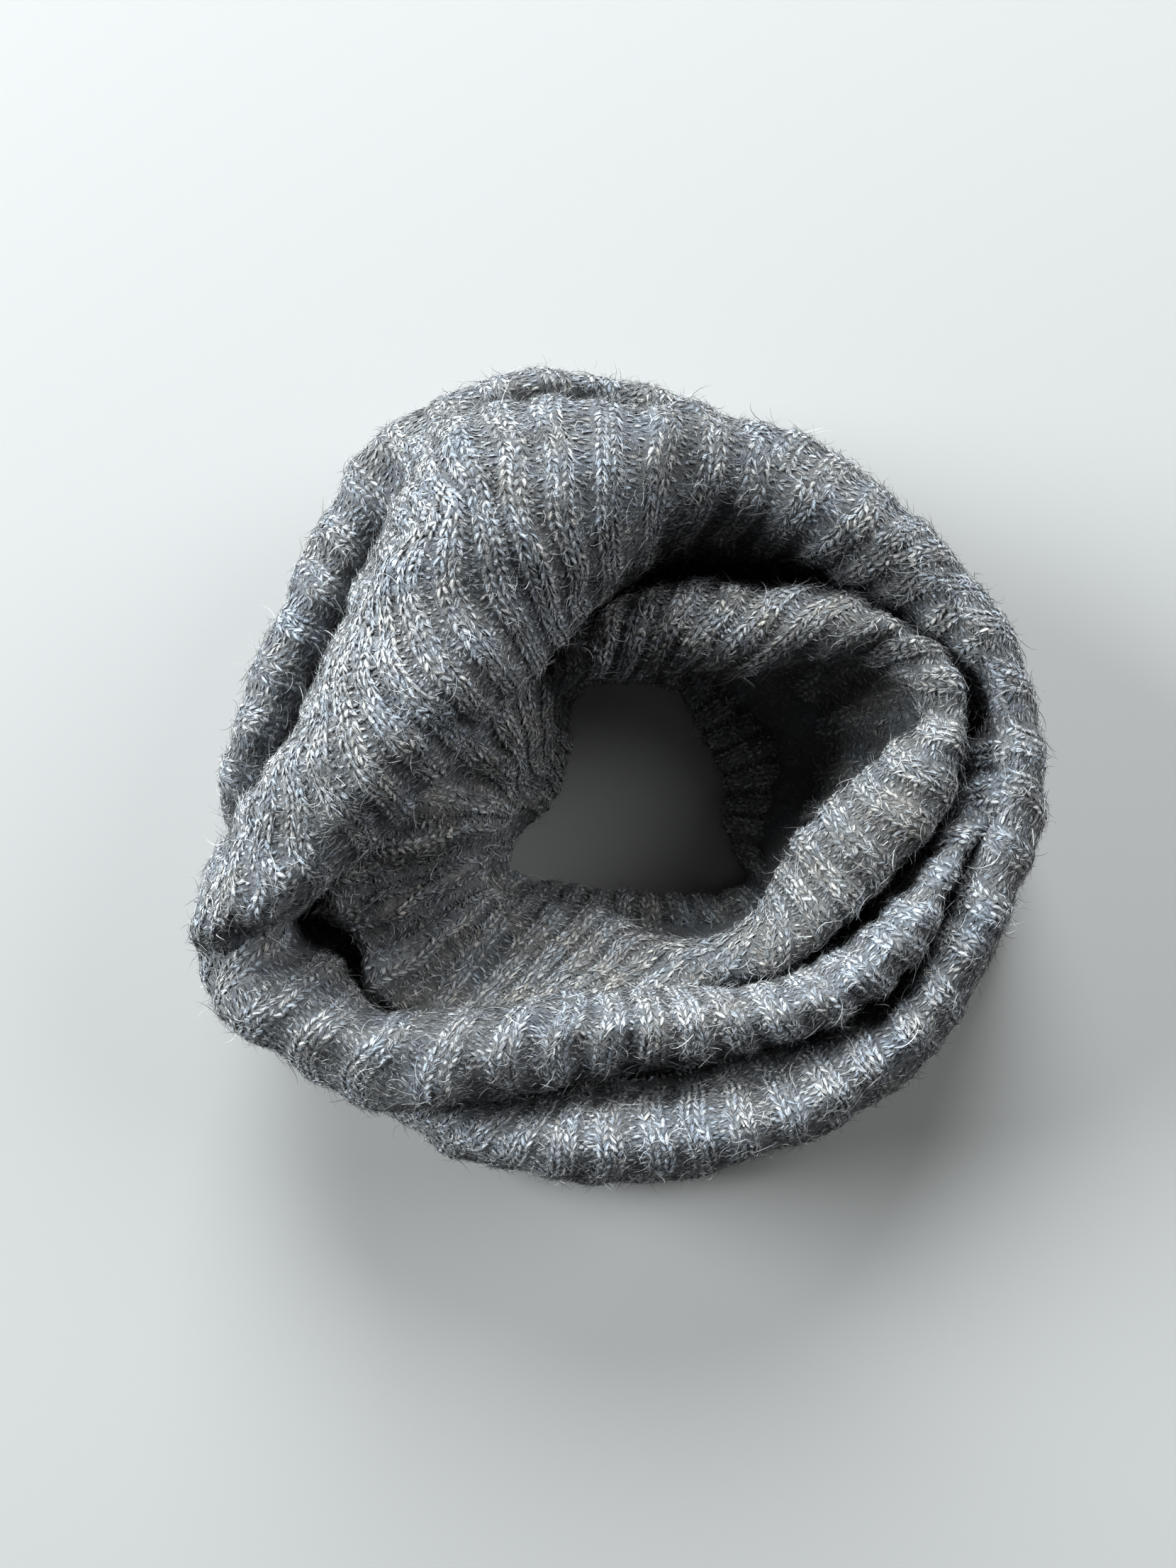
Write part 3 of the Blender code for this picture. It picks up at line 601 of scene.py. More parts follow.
def control_points(angles):
    """The sections at these angles: for each stretch, its (r, z) points from the outside to the hole."""
    turns = (LOWER_FOLD, OUTER_TURN, TOP_TURN, INNER_TURN, LINING)
    fold, outer, top, inner, lining = (round_ring(table, angles) for table in turns)
    first_groove, second_groove = (round_ring(table, angles) for table in (FIRST_GROOVE, SECOND_GROOVE))

    def point(r, z):
        return np.stack(np.broadcast_arrays(r, z), axis=1).astype(float)

    zero = np.zeros(len(fold))
    tuck = point(outer[:, 0] - TUCK_IN, fold[:, 3])
    inner_tuck = lining[:, 0:2]
    hole_r = lining[:, 8]
    return [
        [
            point(fold[:, 0] - TOE_IN, zero),
            point(fold[:, 0] - HEEL_IN, zero + HEEL_HEIGHT),
            fold[:, 0:2],
            point(fold[:, 0] - FOLD_TOP_IN, fold[:, 2]),
            tuck,
        ],
        [
            tuck,
            outer[:, 0:2],
            shoulder(outer[:, 0:2], outer[:, 2:4]),
            outer[:, 2:4],
            shoulder(first_groove, outer[:, 2:4]),
            first_groove,
        ],
        [first_groove, *roll(top), second_groove],
        [second_groove, *roll(inner), inner_tuck],
        [
            inner_tuck,
            lining[:, 2:4],
            lining[:, 4:6],
            lining[:, 6:8],
            point(hole_r, zero + HOLE_EDGE_HEIGHT),
            point(hole_r + HOLE_HEEL_OUT, zero + HOLE_HEEL_HEIGHT),
            point(lining[:, 4] + HOLE_TOE_PAST_TROUGH, zero),
        ],
    ]


def smooth_lines(points):
    """Rounded lines through all the points: Catmull-Rom, spaced by the square root of each chord."""
    first = 2 * points[:, :1] - points[:, 1:2]
    last = 2 * points[:, -1:] - points[:, -2:-1]
    padded = np.concatenate((first, points, last), axis=1)
    knots = np.sqrt(np.linalg.norm(np.diff(padded, axis=1), axis=2))[:, :, None]
    line = []
    for span in range(padded.shape[1] - 3):
        p0, p1, p2, p3 = (padded[:, span + k] for k in range(4))
        t1 = knots[:, span]
        t2 = t1 + knots[:, span + 1]
        t3 = t2 + knots[:, span + 2]
        for step in range(LINE_STEPS):
            t = t1 + (t2 - t1) * step / LINE_STEPS
            a1 = p0 + (p1 - p0) * t / t1
            a2 = p1 + (p2 - p1) * (t - t1) / (t2 - t1)
            a3 = p2 + (p3 - p2) * (t - t2) / (t3 - t2)
            b1 = a1 + (a2 - a1) * t / t2
            b2 = a2 + (a3 - a2) * (t - t1) / (t3 - t1)
            line.append(b1 + (b2 - b1) * (t - t1) / (t2 - t1))
    line.append(padded[:, -2])
    return np.stack(line, axis=1)


def unit(vectors):
    return vectors / np.maximum(np.linalg.norm(vectors, axis=-1, keepdims=True), 1e-12)


def dot(a, b):
    return (a * b).sum(axis=-1, keepdims=True)


def uneven(points, wavelength, seed):
    """A smooth field of about -1 to 1 that varies over this many millimetres."""
    rng = np.random.default_rng(seed)
    ways = unit(rng.normal(size=(UNEVEN_WAVES, 3)))
    waves = ways * rng.uniform(*UNEVEN_RANGE, (UNEVEN_WAVES, 1)) * 2 * math.pi / wavelength
    phases = rng.uniform(0, 2 * math.pi, UNEVEN_WAVES)
    return np.sin(points @ waves.T + phases).sum(axis=-1) / math.sqrt(UNEVEN_WAVES)


class Stretch:
    """One stretch of the tube: a fine grid of points round the ring and along its length."""

    def __init__(self, name, line, spacing, swing, crease=None):
        self.name = name
        self.rib_height = RIB_HEIGHTS[name]
        self.crease = crease
        self.swing = np.array(swing, float).T
        self.count_ribs(spacing)
        steps = np.linalg.norm(np.diff(line, axis=1), axis=2)
        reach = np.concatenate((np.zeros((TURNS, 1)), np.cumsum(steps, axis=1)), axis=1)
        self.length = reach[:, -1]
        at = np.linspace(0, 1, SAMPLES) * self.length[:, None]
        sides = line.transpose(2, 0, 1)
        r, z = (np.array([np.interp(*row) for row in zip(at, reach, side)]) for side in sides)
        turn = np.radians(GRID_ANGLES)[:, None]
        spots = np.stack((r * np.cos(turn) + RING_MIDDLE[0], r * np.sin(turn) + RING_MIDDLE[1], z), axis=2)
        lift = LUMP * (uneven(spots, LUMP_LENGTH, SEED) + 0.5 * uneven(spots, LUMP_LENGTH / 2, SEED + 1))
        lift *= np.clip(spots[:, :, 2] / LUMP_FREE_HEIGHT, 0, 1)
        self.spots = spots + self.faces_out(spots) * lift[:, :, None]
        self.normals = self.faces_out(self.spots)
        self.mm_per_degree = np.linalg.norm(self.round_slopes(self.spots), axis=2)
        self.lay_ribs()

    @staticmethod
    def round_slopes(spots):
        """How fast the points move round the ring, for each degree."""
        return (np.roll(spots, -1, axis=0) - np.roll(spots, 1, axis=0)) * TURNS / (2 * 360)

    def faces_out(self, spots):
        return unit(np.cross(self.round_slopes(spots), np.gradient(spots, axis=1)))

    def count_ribs(self, spacing):
        """Whole ribs round the ring, as close to the given spacing as a whole number allows."""
        self.first = self.crease or 0.0
        self.degrees = np.arange(361.0)
        per_degree = 1 / round_ring(spacing, self.first + self.degrees)[:, 0]
        counted = np.concatenate(([0], np.cumsum((per_degree[1:] + per_degree[:-1]) / 2)))
        self.ribs = round(counted[-1])
        self.counted = counted * self.ribs / counted[-1]

    def lay_ribs(self):
        """Each rib's width and way over the grid, from how fast the count of ribs changes."""
        angle = np.repeat(self.first + (GRID_ANGLES - self.first) % 360, SAMPLES)
        share = np.tile(np.linspace(0, 1, SAMPLES), TURNS)
        round_step, long_step = 0.5, 0.01
        by_round = self.rib_at(angle + round_step, share) - self.rib_at(angle - round_step, share)
        by_long = self.rib_at(angle, share + long_step) - self.rib_at(angle, share - long_step)
        by_round, by_long = (by_round / (2 * round_step))[:, None], (by_long / (2 * long_step))[:, None]
        go_round = self.round_slopes(self.spots).reshape(-1, 3)
        go_long = (np.gradient(self.spots, axis=1) * (SAMPLES - 1)).reshape(-1, 3)
        way = unit(go_long * by_round - go_round * by_long)
        change = by_round * dot(go_long, way) - by_long * dot(go_round, way)
        area = np.linalg.norm(np.cross(go_round, go_long), axis=1, keepdims=True)
        self.ways = way.reshape(self.spots.shape)
        self.widths = (area / np.maximum(np.abs(change), 1e-3)).reshape(TURNS, SAMPLES)

    def read(self, field, angle, share):
        """A field of the grid at these angles and shares of the length."""
        turn = (angle % 360) * TURNS / 360
        i = np.floor(turn).astype(int)
        along = np.clip(share, 0, 1) * (SAMPLES - 1)
        j = np.minimum(along.astype(int), SAMPLES - 2)
        u, v = turn - i, along - j
        if field.ndim == 3:
            u, v = u[:, None], v[:, None]
        i, after = i % TURNS, (i + 1) % TURNS
        near = field[i, j] * (1 - v) + field[i, j + 1] * v
        far = field[after, j] * (1 - v) + field[after, j + 1] * v
        return near * (1 - u) + far * u

    def swung(self, start, share):
        """How far a rib that is centred on this angle has swung at this share of the length."""
        if self.crease:
            far = np.interp(start, self.swing[0], self.swing[1])
            return far * (0.5 - np.exp(-np.maximum(share - SWING_FROM, 0) / SWING_OVER))
        return np.interp(start, self.swing[0], self.swing[1], period=360) * (share - 0.5)

    def wander(self, angle, share):
        spots = self.read(self.spots, angle, share)
        return RIB_WANDER * uneven(spots, RIB_WANDER_LENGTH, SEED + 2) * 360 / self.ribs

    def angle_of(self, rib, share):
        """Where a rib, counted round the ring, is at this share of the length."""
        turns, rest = np.divmod(rib, self.ribs)
        start = self.first + 360 * turns + np.interp(rest, self.counted, self.degrees)
        angle = start + self.swung(start, share)
        return angle + self.wander(angle, share)

    def rib_at(self, angle, share):
        """The rib, counted round the ring, that is at this angle and share of the length."""
        angle = angle - self.wander(angle, share)
        start = angle
        for _ in range(RIB_SEARCH_STEPS):
            start = angle - self.swung(start, share)
        turns, rest = np.divmod(start - self.first, 360)
        return turns * self.ribs + np.interp(rest, self.degrees, self.counted)

    def knit_share(self, angle, share):
        crowding = EVEN_RIB - self.read(self.widths, angle, share)
        return np.clip(KNIT_SHARE + KNIT_SHARE_PER_MM * crowding, *KNIT_SHARE_RANGE)

    def knit_rise(self, rib, angle, share):
        """A rounded step from 0 in the middle of the purl columns to 1 in the middle of the knit ones."""
        knit = self.knit_share(angle, share)
        from_middle = np.abs(rib % 1 - 0.5)
        fall = (1 - EDGE_RISE**2) * (from_middle / (knit / 2)) ** 2
        on_knit = np.sqrt(np.clip(1 - fall, EDGE_RISE**2, 1))
        in_purl = EDGE_RISE * ((0.5 - from_middle) / ((1 - knit) / 2)) ** 2
        return np.where(from_middle < knit / 2, on_knit, in_purl)

    def rib_lift(self, rib, angle, share):
        """How far the cloth rises at this place across a rib."""
        ends = np.clip(np.minimum(share, 1 - share) * RIB_FADE, RIB_AT_ENDS, 1)
        return self.rib_height * ends * self.knit_rise(rib, angle, share)

    def creased(self, angle, share):
        """How far the cloth sinks into the crease between two panels."""
        if not self.crease:
            return np.zeros(len(angle))
        off = (angle - self.crease + 180) % 360 - 180
        off = off * self.read(self.mm_per_degree, angle, share)
        deep = CREASE_DEPTH * np.clip((share - CREASE_FROM) / CREASE_FADE, 0, 1)
        return deep * np.exp(-((off / CREASE_HALF_WIDTH) ** 2))

    def place(self, rib, angle, share):
        """Points, facings and rib directions of the ribbed surface."""
        normal = self.read(self.normals, angle, share)
        way = self.read(self.ways, angle, share)
        along = unit(way - normal * dot(way, normal))
        across = np.cross(along, normal)
        nudge = 0.03
        rise = self.rib_lift(rib + nudge, angle, share) - self.rib_lift(rib - nudge, angle, share)
        slope = rise / (2 * nudge * self.read(self.widths, angle, share))
        slope = np.clip(slope, -STEEPEST_RIB, STEEPEST_RIB)
        tilted = unit(normal - across * slope[:, None])
        height = self.rib_lift(rib, angle, share) - self.creased(angle, share) - SHELL_SINK
        spot = self.read(self.spots, angle, share) + normal * height[:, None]
        return spot, normal, tilted, along


def lay_out_stretches():
    """The five stretches that show, from the outside of the heap to its hole."""
    stretches = control_points(GRID_ANGLES)
    chain = list(stretches[0])
    for stretch in stretches[1:]:
        chain += stretch[1:]
    line = smooth_lines(np.stack(chain, axis=1))
    names = (
        ("lower_fold", EVEN_SPACING, LOWER_SWING, None),
        ("outer_turn", EVEN_SPACING, OUTER_SWING, None),
        ("top_turn", TOP_SPACING, TOP_SWING, CREASE_ANGLE),
        ("inner_turn", INNER_SPACING, INNER_SWING, None),
        ("lining_fold", LINING_SPACING, LINING_SWING, None),
    )
    found, start = [], 0
    for points, (name, spacing, swing, crease) in zip(stretches, names):
        end = start + LINE_STEPS * (len(points) - 1)
        found.append(Stretch(name, line[:, start : end + 1], spacing, swing, crease))
        start = end
    return found


def set_in_scene(name, data):
    obj = bpy.data.objects.new(name, data)
    bpy.context.scene.collection.objects.link(obj)
    return obj


def new_object(name, points, faces, material):
    mesh = bpy.data.meshes.new(name)
    mesh.from_pydata(points, [], faces)
    mesh.update()
    if material:
        mesh.materials.append(material)
    if faces:
        mesh.polygons.foreach_set("use_smooth", [True] * len(mesh.polygons))
    return set_in_scene(name, mesh)


def store(mesh, label, values):
    """Keeps a number or a vector with every point of the mesh."""
    kind, field = ("FLOAT_VECTOR", "vector") if values.ndim == 2 else ("FLOAT", "value")
    attribute = mesh.attributes.new(label, kind, "POINT")
    attribute.data.foreach_set(field, values.astype(np.float32).ravel())


def cloth_shell(stretch, material):
    """The cloth under the stitches: a closed thin wall with the ribs raised on its outside, painted light on
    the knit columns and painted shade in the purl valleys.
    """
    rows = round(stretch.length.max() / SHELL_ROW)
    angle = stretch.first + np.arange(SHELL_COLUMNS) * 360 / SHELL_COLUMNS
    outside, inside, knit = [], [], []
    for row in range(rows + 1):
        share = np.full(SHELL_COLUMNS, row / rows)
        rib = stretch.rib_at(angle, share)
        outside.append(stretch.place(rib, angle, share)[0])
        # The rib's rise also sets the painted light: lit on the knit columns, painted shade in the purl
        # valleys
        knit.append(stretch.knit_rise(rib, angle, share))
    for row in range(SHELL_INSIDE_ROWS + 1):
        share = np.full(SHELL_COLUMNS, row / SHELL_INSIDE_ROWS)
        normal = stretch.read(stretch.normals, angle, share)
        inside.append(stretch.read(stretch.spots, angle, share) - normal * (SHELL_SINK + SHELL_WALL))
        # The inside of the wall gets the full painted shade of a purl valley
        knit.append(share * 0)
    rings = outside + inside[::-1]
    points = np.concatenate(rings)
    points[:, 2] = np.maximum(points[:, 2], SHELL_LOWEST)
    faces = []
    for low in range(len(rings)):
        high = (low + 1) % len(rings)
        for k in range(SHELL_COLUMNS):
            after = (k + 1) % SHELL_COLUMNS
            corners = ((low, k), (low, after), (high, after), (high, k))
            faces.append([ring * SHELL_COLUMNS + column for ring, column in corners])
    shell = new_object(stretch.name + "_cloth", (points * METRES).tolist(), faces, material)
    store(shell.data, "on_knit", np.concatenate(knit))
    return shell


def stitch_columns(stretch):
    """Every stitch: its place in ribs, angle, share of the length, the share that a row takes, and kind.

    Kinds 1 and 2 are the two knit columns of a rib, 0 and 3 the purl columns on either side of them.
    """
    spare = CREASE_SPARE_RIBS if stretch.crease else 0
    rib = np.repeat(np.arange(-spare, stretch.ribs + spare), 4)
    kind = np.tile(np.arange(4), len(rib) // 4)
    steps = np.linspace(0, 1, COLUMN_STEPS)
    path = np.empty((len(rib), len(steps), 3))
    middles = np.empty((len(rib), len(steps)))
    angles = np.empty((len(rib), len(steps)))
    for k, step in enumerate(steps):
        share = np.full(len(rib), step)
        knit = stretch.knit_share(stretch.angle_of(rib + 0.5, share), share)
        offsets = np.stack(((1 - knit) / 4, 0.5 - knit / 4, 0.5 + knit / 4, 1 - (1 - knit) / 4))
        middles[:, k] = rib + offsets[kind, np.arange(len(rib))]
        angles[:, k] = stretch.angle_of(middles[:, k], share)
        path[:, k] = stretch.read(stretch.spots, angles[:, k], share)
    gone = np.cumsum(np.linalg.norm(np.diff(path, axis=1), axis=2), axis=1)
    gone = np.concatenate((np.zeros((len(rib), 1)), gone), axis=1)
    found = []
    for k in range(len(rib)):
        half = int((gone[k, -1] / 2 + ROW_PAST_END) / ROW_PITCH)
        at = gone[k, -1] / 2 + np.arange(-half, half + 1) * ROW_PITCH
        share = np.interp(at, gone[k], steps)
        middle, angle = np.interp(share, steps, middles[k]), np.interp(share, steps, angles[k])
        row = np.full(len(at), ROW_PITCH / gone[k, -1])
        found.append((middle, angle, share, row, np.full(len(at), kind[k])))
    found = [np.concatenate(part) for part in zip(*found)]
    if stretch.crease:
        kept = (found[1] >= stretch.first) & (found[1] < stretch.first + 360)
        found = [part[kept] for part in found]
    return found


def stitch_strands(stretch):
    """Every strand of the stitches' legs: middle, facing, direction, size, shade, and painted light of its
    column.
    """
    rng = np.random.default_rng(SEED + sum(map(ord, stretch.name)))
    middle, angle, share, row, kind = stitch_columns(stretch)
    is_knit = (kind == 1) | (kind == 2)
    count = len(middle)
    tone = np.clip(rng.normal(*STITCH_TONE, count), 0, 1)
    knit = stretch.knit_share(angle, share)
    width = stretch.read(stretch.widths, angle, share) * np.where(is_knit, knit, 1 - knit) / 2
    found = []
    for side in (-1, 1):
        leg_tone = tone + rng.normal(0, LEG_TONE_SPREAD, count)
        later = np.where(is_knit, 0.0, 0.25 * side * row)
        spot, _, tilted, along = stretch.place(middle, angle, share + later)
        across = np.cross(along, tilted)
        for strand, (aside, thick, reach) in enumerate(STRANDS):
            there = is_knit | (strand < PURL_STRANDS)
            lean = np.where(is_knit, np.arctan2(KNIT_LEAN[0] * width, KNIT_LEAN[1]), math.pi / 2) * side
            lean = lean + rng.normal(0, LEAN_SPREAD, count)
            lie = along * np.cos(lean)[:, None] + across * np.sin(lean)[:, None]
            beside = np.cross(lie, tilted)
            shift = np.where(is_knit, 0.25 * side * width, 0.5 * width * (side > 0))
            shift = shift + rng.normal(0, ASIDE_SPREAD, count)
            at = spot + across * shift[:, None] + along * rng.normal(0, ALONG_SPREAD, count)[:, None]
            at = at + beside * (aside * np.clip(width / EVEN_COLUMN, *APART_RANGE))[:, None]
            at = at + tilted * rng.uniform(*DEPTH_RANGE, count)[:, None]
            way = unit(lie + tilted * np.where(is_knit, KNIT_RISE, 0.0)[:, None])
            turned = unit(tilted + beside * rng.normal(0, ROLL_SPREAD, count)[:, None])
            long = np.where(is_knit, KNIT_LEG, np.clip(width * PURL_BAR, *PURL_BAR_RANGE))
            long = long * reach * rng.uniform(*LENGTH_RANGE, count)
            wide = thick * np.where(is_knit, 1.0, PURL_BAR_WIDTH) * rng.uniform(*WIDTH_RANGE, count)
            high = np.where(is_knit, KNIT_ARCH, PURL_ARCH) * thick * rng.uniform(*ARCH_RANGE, count)
            shade = np.clip(leg_tone + rng.normal(0, STRAND_TONE_SPREAD, count), 0, 1)
            light = rng.random(count) > 1 - LIGHT_SHARE
            shade = np.where(light, rng.uniform(*LIGHT_TONES, count), shade)
            # Purl bars are darkened: painted shade, as they lie sunk between the knit columns
            shade = shade - np.where(is_knit, 0.0, PURL_PAINTED_SHADE) - SIDE_DARKER * (strand > 0)
            size = np.stack((long, wide, high), axis=1)
            # Painted light on the ground round a knit strand, painted shade round a purl bar
            under = np.where(is_knit, KNIT_GROUND_PAINTED_LIGHT, PURL_GROUND_PAINTED_LIGHT)
            places = {"at": at, "up": turned, "along": way, "size": size, "shade": shade, "on_knit": under}
            found.append(keep(places, there))
    places = join_places(found)
    return keep(places, places["at"][:, 2] > STITCH_FREE_HEIGHT)


def join_places(places):
    return {key: np.concatenate([place[key] for place in places]) for key in places[0]}


def keep(places, clear):
    return {key: value[clear] for key, value in places.items()}


def loose_fibres(stretch, kind, number):
    """Fibres that lie on the cloth or stand off it: roots, facing, direction and size of each curl."""
    rng = np.random.default_rng(SEED + kind["seed"] + number)
    cells = stretch.mm_per_degree * (360 / TURNS) * (stretch.length[:, None] / (SAMPLES - 1))
    cells = cells * (stretch.spots[:, :, 2] > ROOT_FREE_HEIGHT)
    count = int(cells.sum() / 100 * kind["per_cm2"])
    chosen = rng.choice(cells.size, count, p=(cells / cells.sum()).ravel())
    turn, row = np.divmod(chosen, SAMPLES)
    angle = stretch.first + ((turn + rng.random(count)) * 360 / TURNS - stretch.first) % 360
    share = np.clip((row + rng.uniform(-0.5, 0.5, count)) / (SAMPLES - 1), 0, 1)
    spot, normal, _, along = stretch.place(stretch.rib_at(angle, share), angle, share)
    across = np.cross(along, normal)
    bearing = rng.uniform(0, 2 * math.pi, count)
    flat = along * np.cos(bearing)[:, None] + across * np.sin(bearing)[:, None]
    way = unit(flat + normal * np.abs(rng.normal(0, kind["rise"], count))[:, None])
    side = rng.choice((-1.0, 1.0), count)[:, None]
    up = unit(normal * side + np.cross(normal, flat) * rng.normal(0, kind["roll"], count)[:, None])
    long = rng.uniform(*kind["lengths"], count)
    curl = rng.uniform(*kind["curl"], count)
    size = np.stack((long, long * curl, np.full(count, kind["width"])), axis=1)
    x_way = unit(way - up * dot(way, up))
    y_way = np.cross(up, x_way)
    at = spot + normal * rng.uniform(*FIBRE_ROOTS, count)[:, None]
    tip = at + x_way * (FIBRE_TIP * long)[:, None] + y_way * (FIBRE_TIP * long * curl)[:, None]
    middle = at + x_way * (FIBRE_MIDDLE * long)[:, None]
    places = {"at": at, "up": up, "along": way, "size": size, "shade": rng.random(count)}
    return keep(places, (tip[:, 2] > FIBRE_FREE_HEIGHT) & (middle[:, 2] > FIBRE_FREE_HEIGHT))


class Tree:
    """Short calls for building a node tree."""

    def __init__(self, nodes_and_links):
        self.tree = nodes_and_links

    def add(self, kind, inputs=None, **settings):
        """A node with its settings, and its inputs given as values or as other nodes' sockets."""
        node = self.tree.nodes.new(kind)
        for key, value in settings.items():
            setattr(node, key, value)
        for key, value in (inputs or {}).items():
            if isinstance(value, bpy.types.NodeSocket):
                self.tree.links.new(value, node.inputs[key])
            else:
                node.inputs[key].default_value = value
        return node

    def maths(self, operation, a, b=0.0):
        return self.add("ShaderNodeMath", {0: a, 1: b}, operation=operation).outputs[0]

    def plus(self, a, b):
        return self.maths("ADD", a, b)

    def minus(self, a, b):
        return self.maths("SUBTRACT", a, b)

    def times(self, a, b):
        return self.maths("MULTIPLY", a, b)

    def edge(self, across, power):
        """From 0 in the middle to 1 at both edges of a sheet one unit wide."""
        return self.maths("POWER", self.maths("ABSOLUTE", self.times(across, 2.0)), power)

    def attribute(self, label, output="Fac"):
        return self.add("ShaderNodeAttribute", attribute_name=label).outputs[output]

    def noise(self, place, scale, detail, **more):
        inputs = {"Vector": place, "Scale": scale, "Detail": detail, **more}
        return self.add("ShaderNodeTexNoise", inputs).outputs["Fac"]

    def ramp(self, value, colours):
        """The colour at this value on a ramp, from the places and colours of its stops."""
        ramp = self.add("ShaderNodeValToRGB", {"Fac": value})
        stops = ramp.color_ramp.elements
        while len(stops) < len(colours):
            stops.new(0.5)
        for stop, (at, colour) in zip(stops, colours):
            stop.position = at
            stop.color = (*colour, 1.0)
        return ramp.outputs["Color"]


def new_spread_tree(name, sizes):
    """A node group with a geometry input, named size inputs and a material, and a geometry output."""
    group = bpy.data.node_groups.new(name, "GeometryNodeTree")
    sockets = group.interface
    sockets.new_socket("Geometry", in_out="INPUT", socket_type="NodeSocketGeometry")
    for label, (kind, value) in sizes.items():
        sockets.new_socket(label, in_out="INPUT", socket_type=kind).default_value = value
    sockets.new_socket("Material", in_out="INPUT", socket_type="NodeSocketMaterial")
    sockets.new_socket("Geometry", in_out="OUTPUT", socket_type="NodeSocketGeometry")
    build = Tree(group)
    return group, build, build.add("NodeGroupInput")


def spread_over_points(build, given, blade):
    """Sets the blade on every point, turned and sized by the point's attributes, as one real mesh."""

    def stored(label):
        kind = "GeometryNodeInputNamedAttribute"
        return build.add(kind, {"Name": label}, data_type="FLOAT_VECTOR").outputs[0]

    axes = {"Primary Axis": stored("up"), "Secondary Axis": stored("along")}
    turned = build.add("FunctionNodeAxesToRotation", axes, primary_axis="Z", secondary_axis="X").outputs[0]
    points = given.outputs["Geometry"]
    laid = build.add(
        "GeometryNodeInstanceOnPoints",
        {"Points": points, "Instance": blade, "Rotation": turned, "Scale": stored("size")},
    )
    real = build.add("GeometryNodeRealizeInstances", {"Geometry": laid.outputs[0]}).outputs[0]
    for label in ("up", "along", "size"):
        real = build.add("GeometryNodeRemoveAttribute", {"Geometry": real, "Name": label}).outputs[0]
    done = build.add("GeometryNodeSetMaterial", {"Geometry": real, "Material": given.outputs["Material"]})
    build.add("NodeGroupOutput", {"Geometry": done.outputs[0]})


def sheet_on(build, given):
    """A flat sheet one unit long and wide, and the place of its points: whole, along and across."""
    size = {"Size X": 1.0, "Size Y": 1.0, "Vertices X": given.outputs["Stations"], "Vertices Y": 2}
    sheet = build.add("GeometryNodeMeshGrid", size).outputs["Mesh"]
    at = build.add("GeometryNodeInputPosition").outputs[0]
    parts = build.add("ShaderNodeSeparateXYZ", {0: at})
    return sheet, at, parts.outputs[0], parts.outputs[1]


def reshaped(build, sheet, x, y, z):
    """The sheet with its points moved there, and closed where they meet."""
    to = build.add("ShaderNodeCombineXYZ", {0: x, 1: y, 2: z}).outputs[0]
    moved = build.add("GeometryNodeSetPosition", {"Geometry": sheet, "Position": to}).outputs[0]
    return build.add("GeometryNodeMergeByDistance", {"Geometry": moved, "Distance": 0.001}).outputs[0]


def yarn_leg_tree():
    """A strand of yarn on every point: arched along its length and pointed at both ends."""
    sizes = {"Stations": ("NodeSocketInt", 4), "Plumpness": ("NodeSocketFloat", 0.8)}
    group, build, given = new_spread_tree("yarn legs", sizes)
    sheet, at, x, y = sheet_on(build, given)
    marked = build.add(
        "GeometryNodeStoreNamedAttribute",
        {"Geometry": sheet, "Name": "on_yarn", "Value": at},
        data_type="FLOAT_VECTOR",
        domain="POINT",
    ).outputs[0]
    full = build.maths("MAXIMUM", build.minus(1.0, build.edge(x, POINT_POWER)), 0.0)
    taper = build.maths("POWER", full, given.outputs["Plumpness"])
    closed = reshaped(build, marked, x, build.times(y, taper), taper)
    smooth = build.add("GeometryNodeSetShadeSmooth", {"Geometry": closed}).outputs[0]
    spread_over_points(build, given, smooth)
    return group


def fibre_tree():
    """A fibre that curls in its own plane and narrows to its tip, on every point."""
    sizes = {
        "Stations": ("NodeSocketInt", 3),
        "Bend": ("NodeSocketFloat", 1.7),
        "Thinness": ("NodeSocketFloat", 0.03),
    }
    group, build, given = new_spread_tree("loose fibres", sizes)
    bend = given.outputs["Bend"]
    sheet, _, x, y = sheet_on(build, given)
    reach = build.plus(x, 0.5)
    turned = build.times(reach, bend)
    sine, cosine = build.maths("SINE", turned), build.maths("COSINE", turned)
    taper = build.times(y, build.minus(1.0, build.times(reach, reach)))
    aside = build.times(taper, given.outputs["Thinness"])
    forward = build.minus(build.maths("DIVIDE", sine, bend), build.times(aside, sine))
    curled = build.plus(build.maths("DIVIDE", build.minus(1.0, cosine), bend), build.times(aside, cosine))
    spread_over_points(build, given, reshaped(build, sheet, forward, curled, taper))
    return group


def grow(name, places, tree, inputs, material):
    """The tree's blades on these places, as a plain mesh object."""
    seed = new_object(name + "_places", (places["at"] * METRES).tolist(), [], None)
    for key, values in places.items():
        if key != "at":
            store(seed.data, key, values * METRES if key == "size" else values)
    modifier = seed.modifiers.new("spread", "NODES")
    modifier.node_group = tree
    for item in tree.interface.items_tree:
        if item.in_out == "INPUT" and item.name in inputs:
            modifier[item.identifier] = inputs[item.name]
        if item.in_out == "INPUT" and item.name == "Material":
            modifier[item.identifier] = material
    graph = bpy.context.evaluated_depsgraph_get()
    mesh = bpy.data.meshes.new_from_object(seed.evaluated_get(graph), depsgraph=graph)
    mesh.name = name
    bpy.data.objects.remove(seed)
    if not mesh.materials:
        mesh.materials.append(material)
    return set_in_scene(name, mesh)


def new_material(name, roughness):
    material = bpy.data.materials.new(name)
    material.use_nodes = True
    shader = material.node_tree.nodes["Principled BSDF"]
    shader.inputs["Roughness"].default_value = roughness
    return material, shader


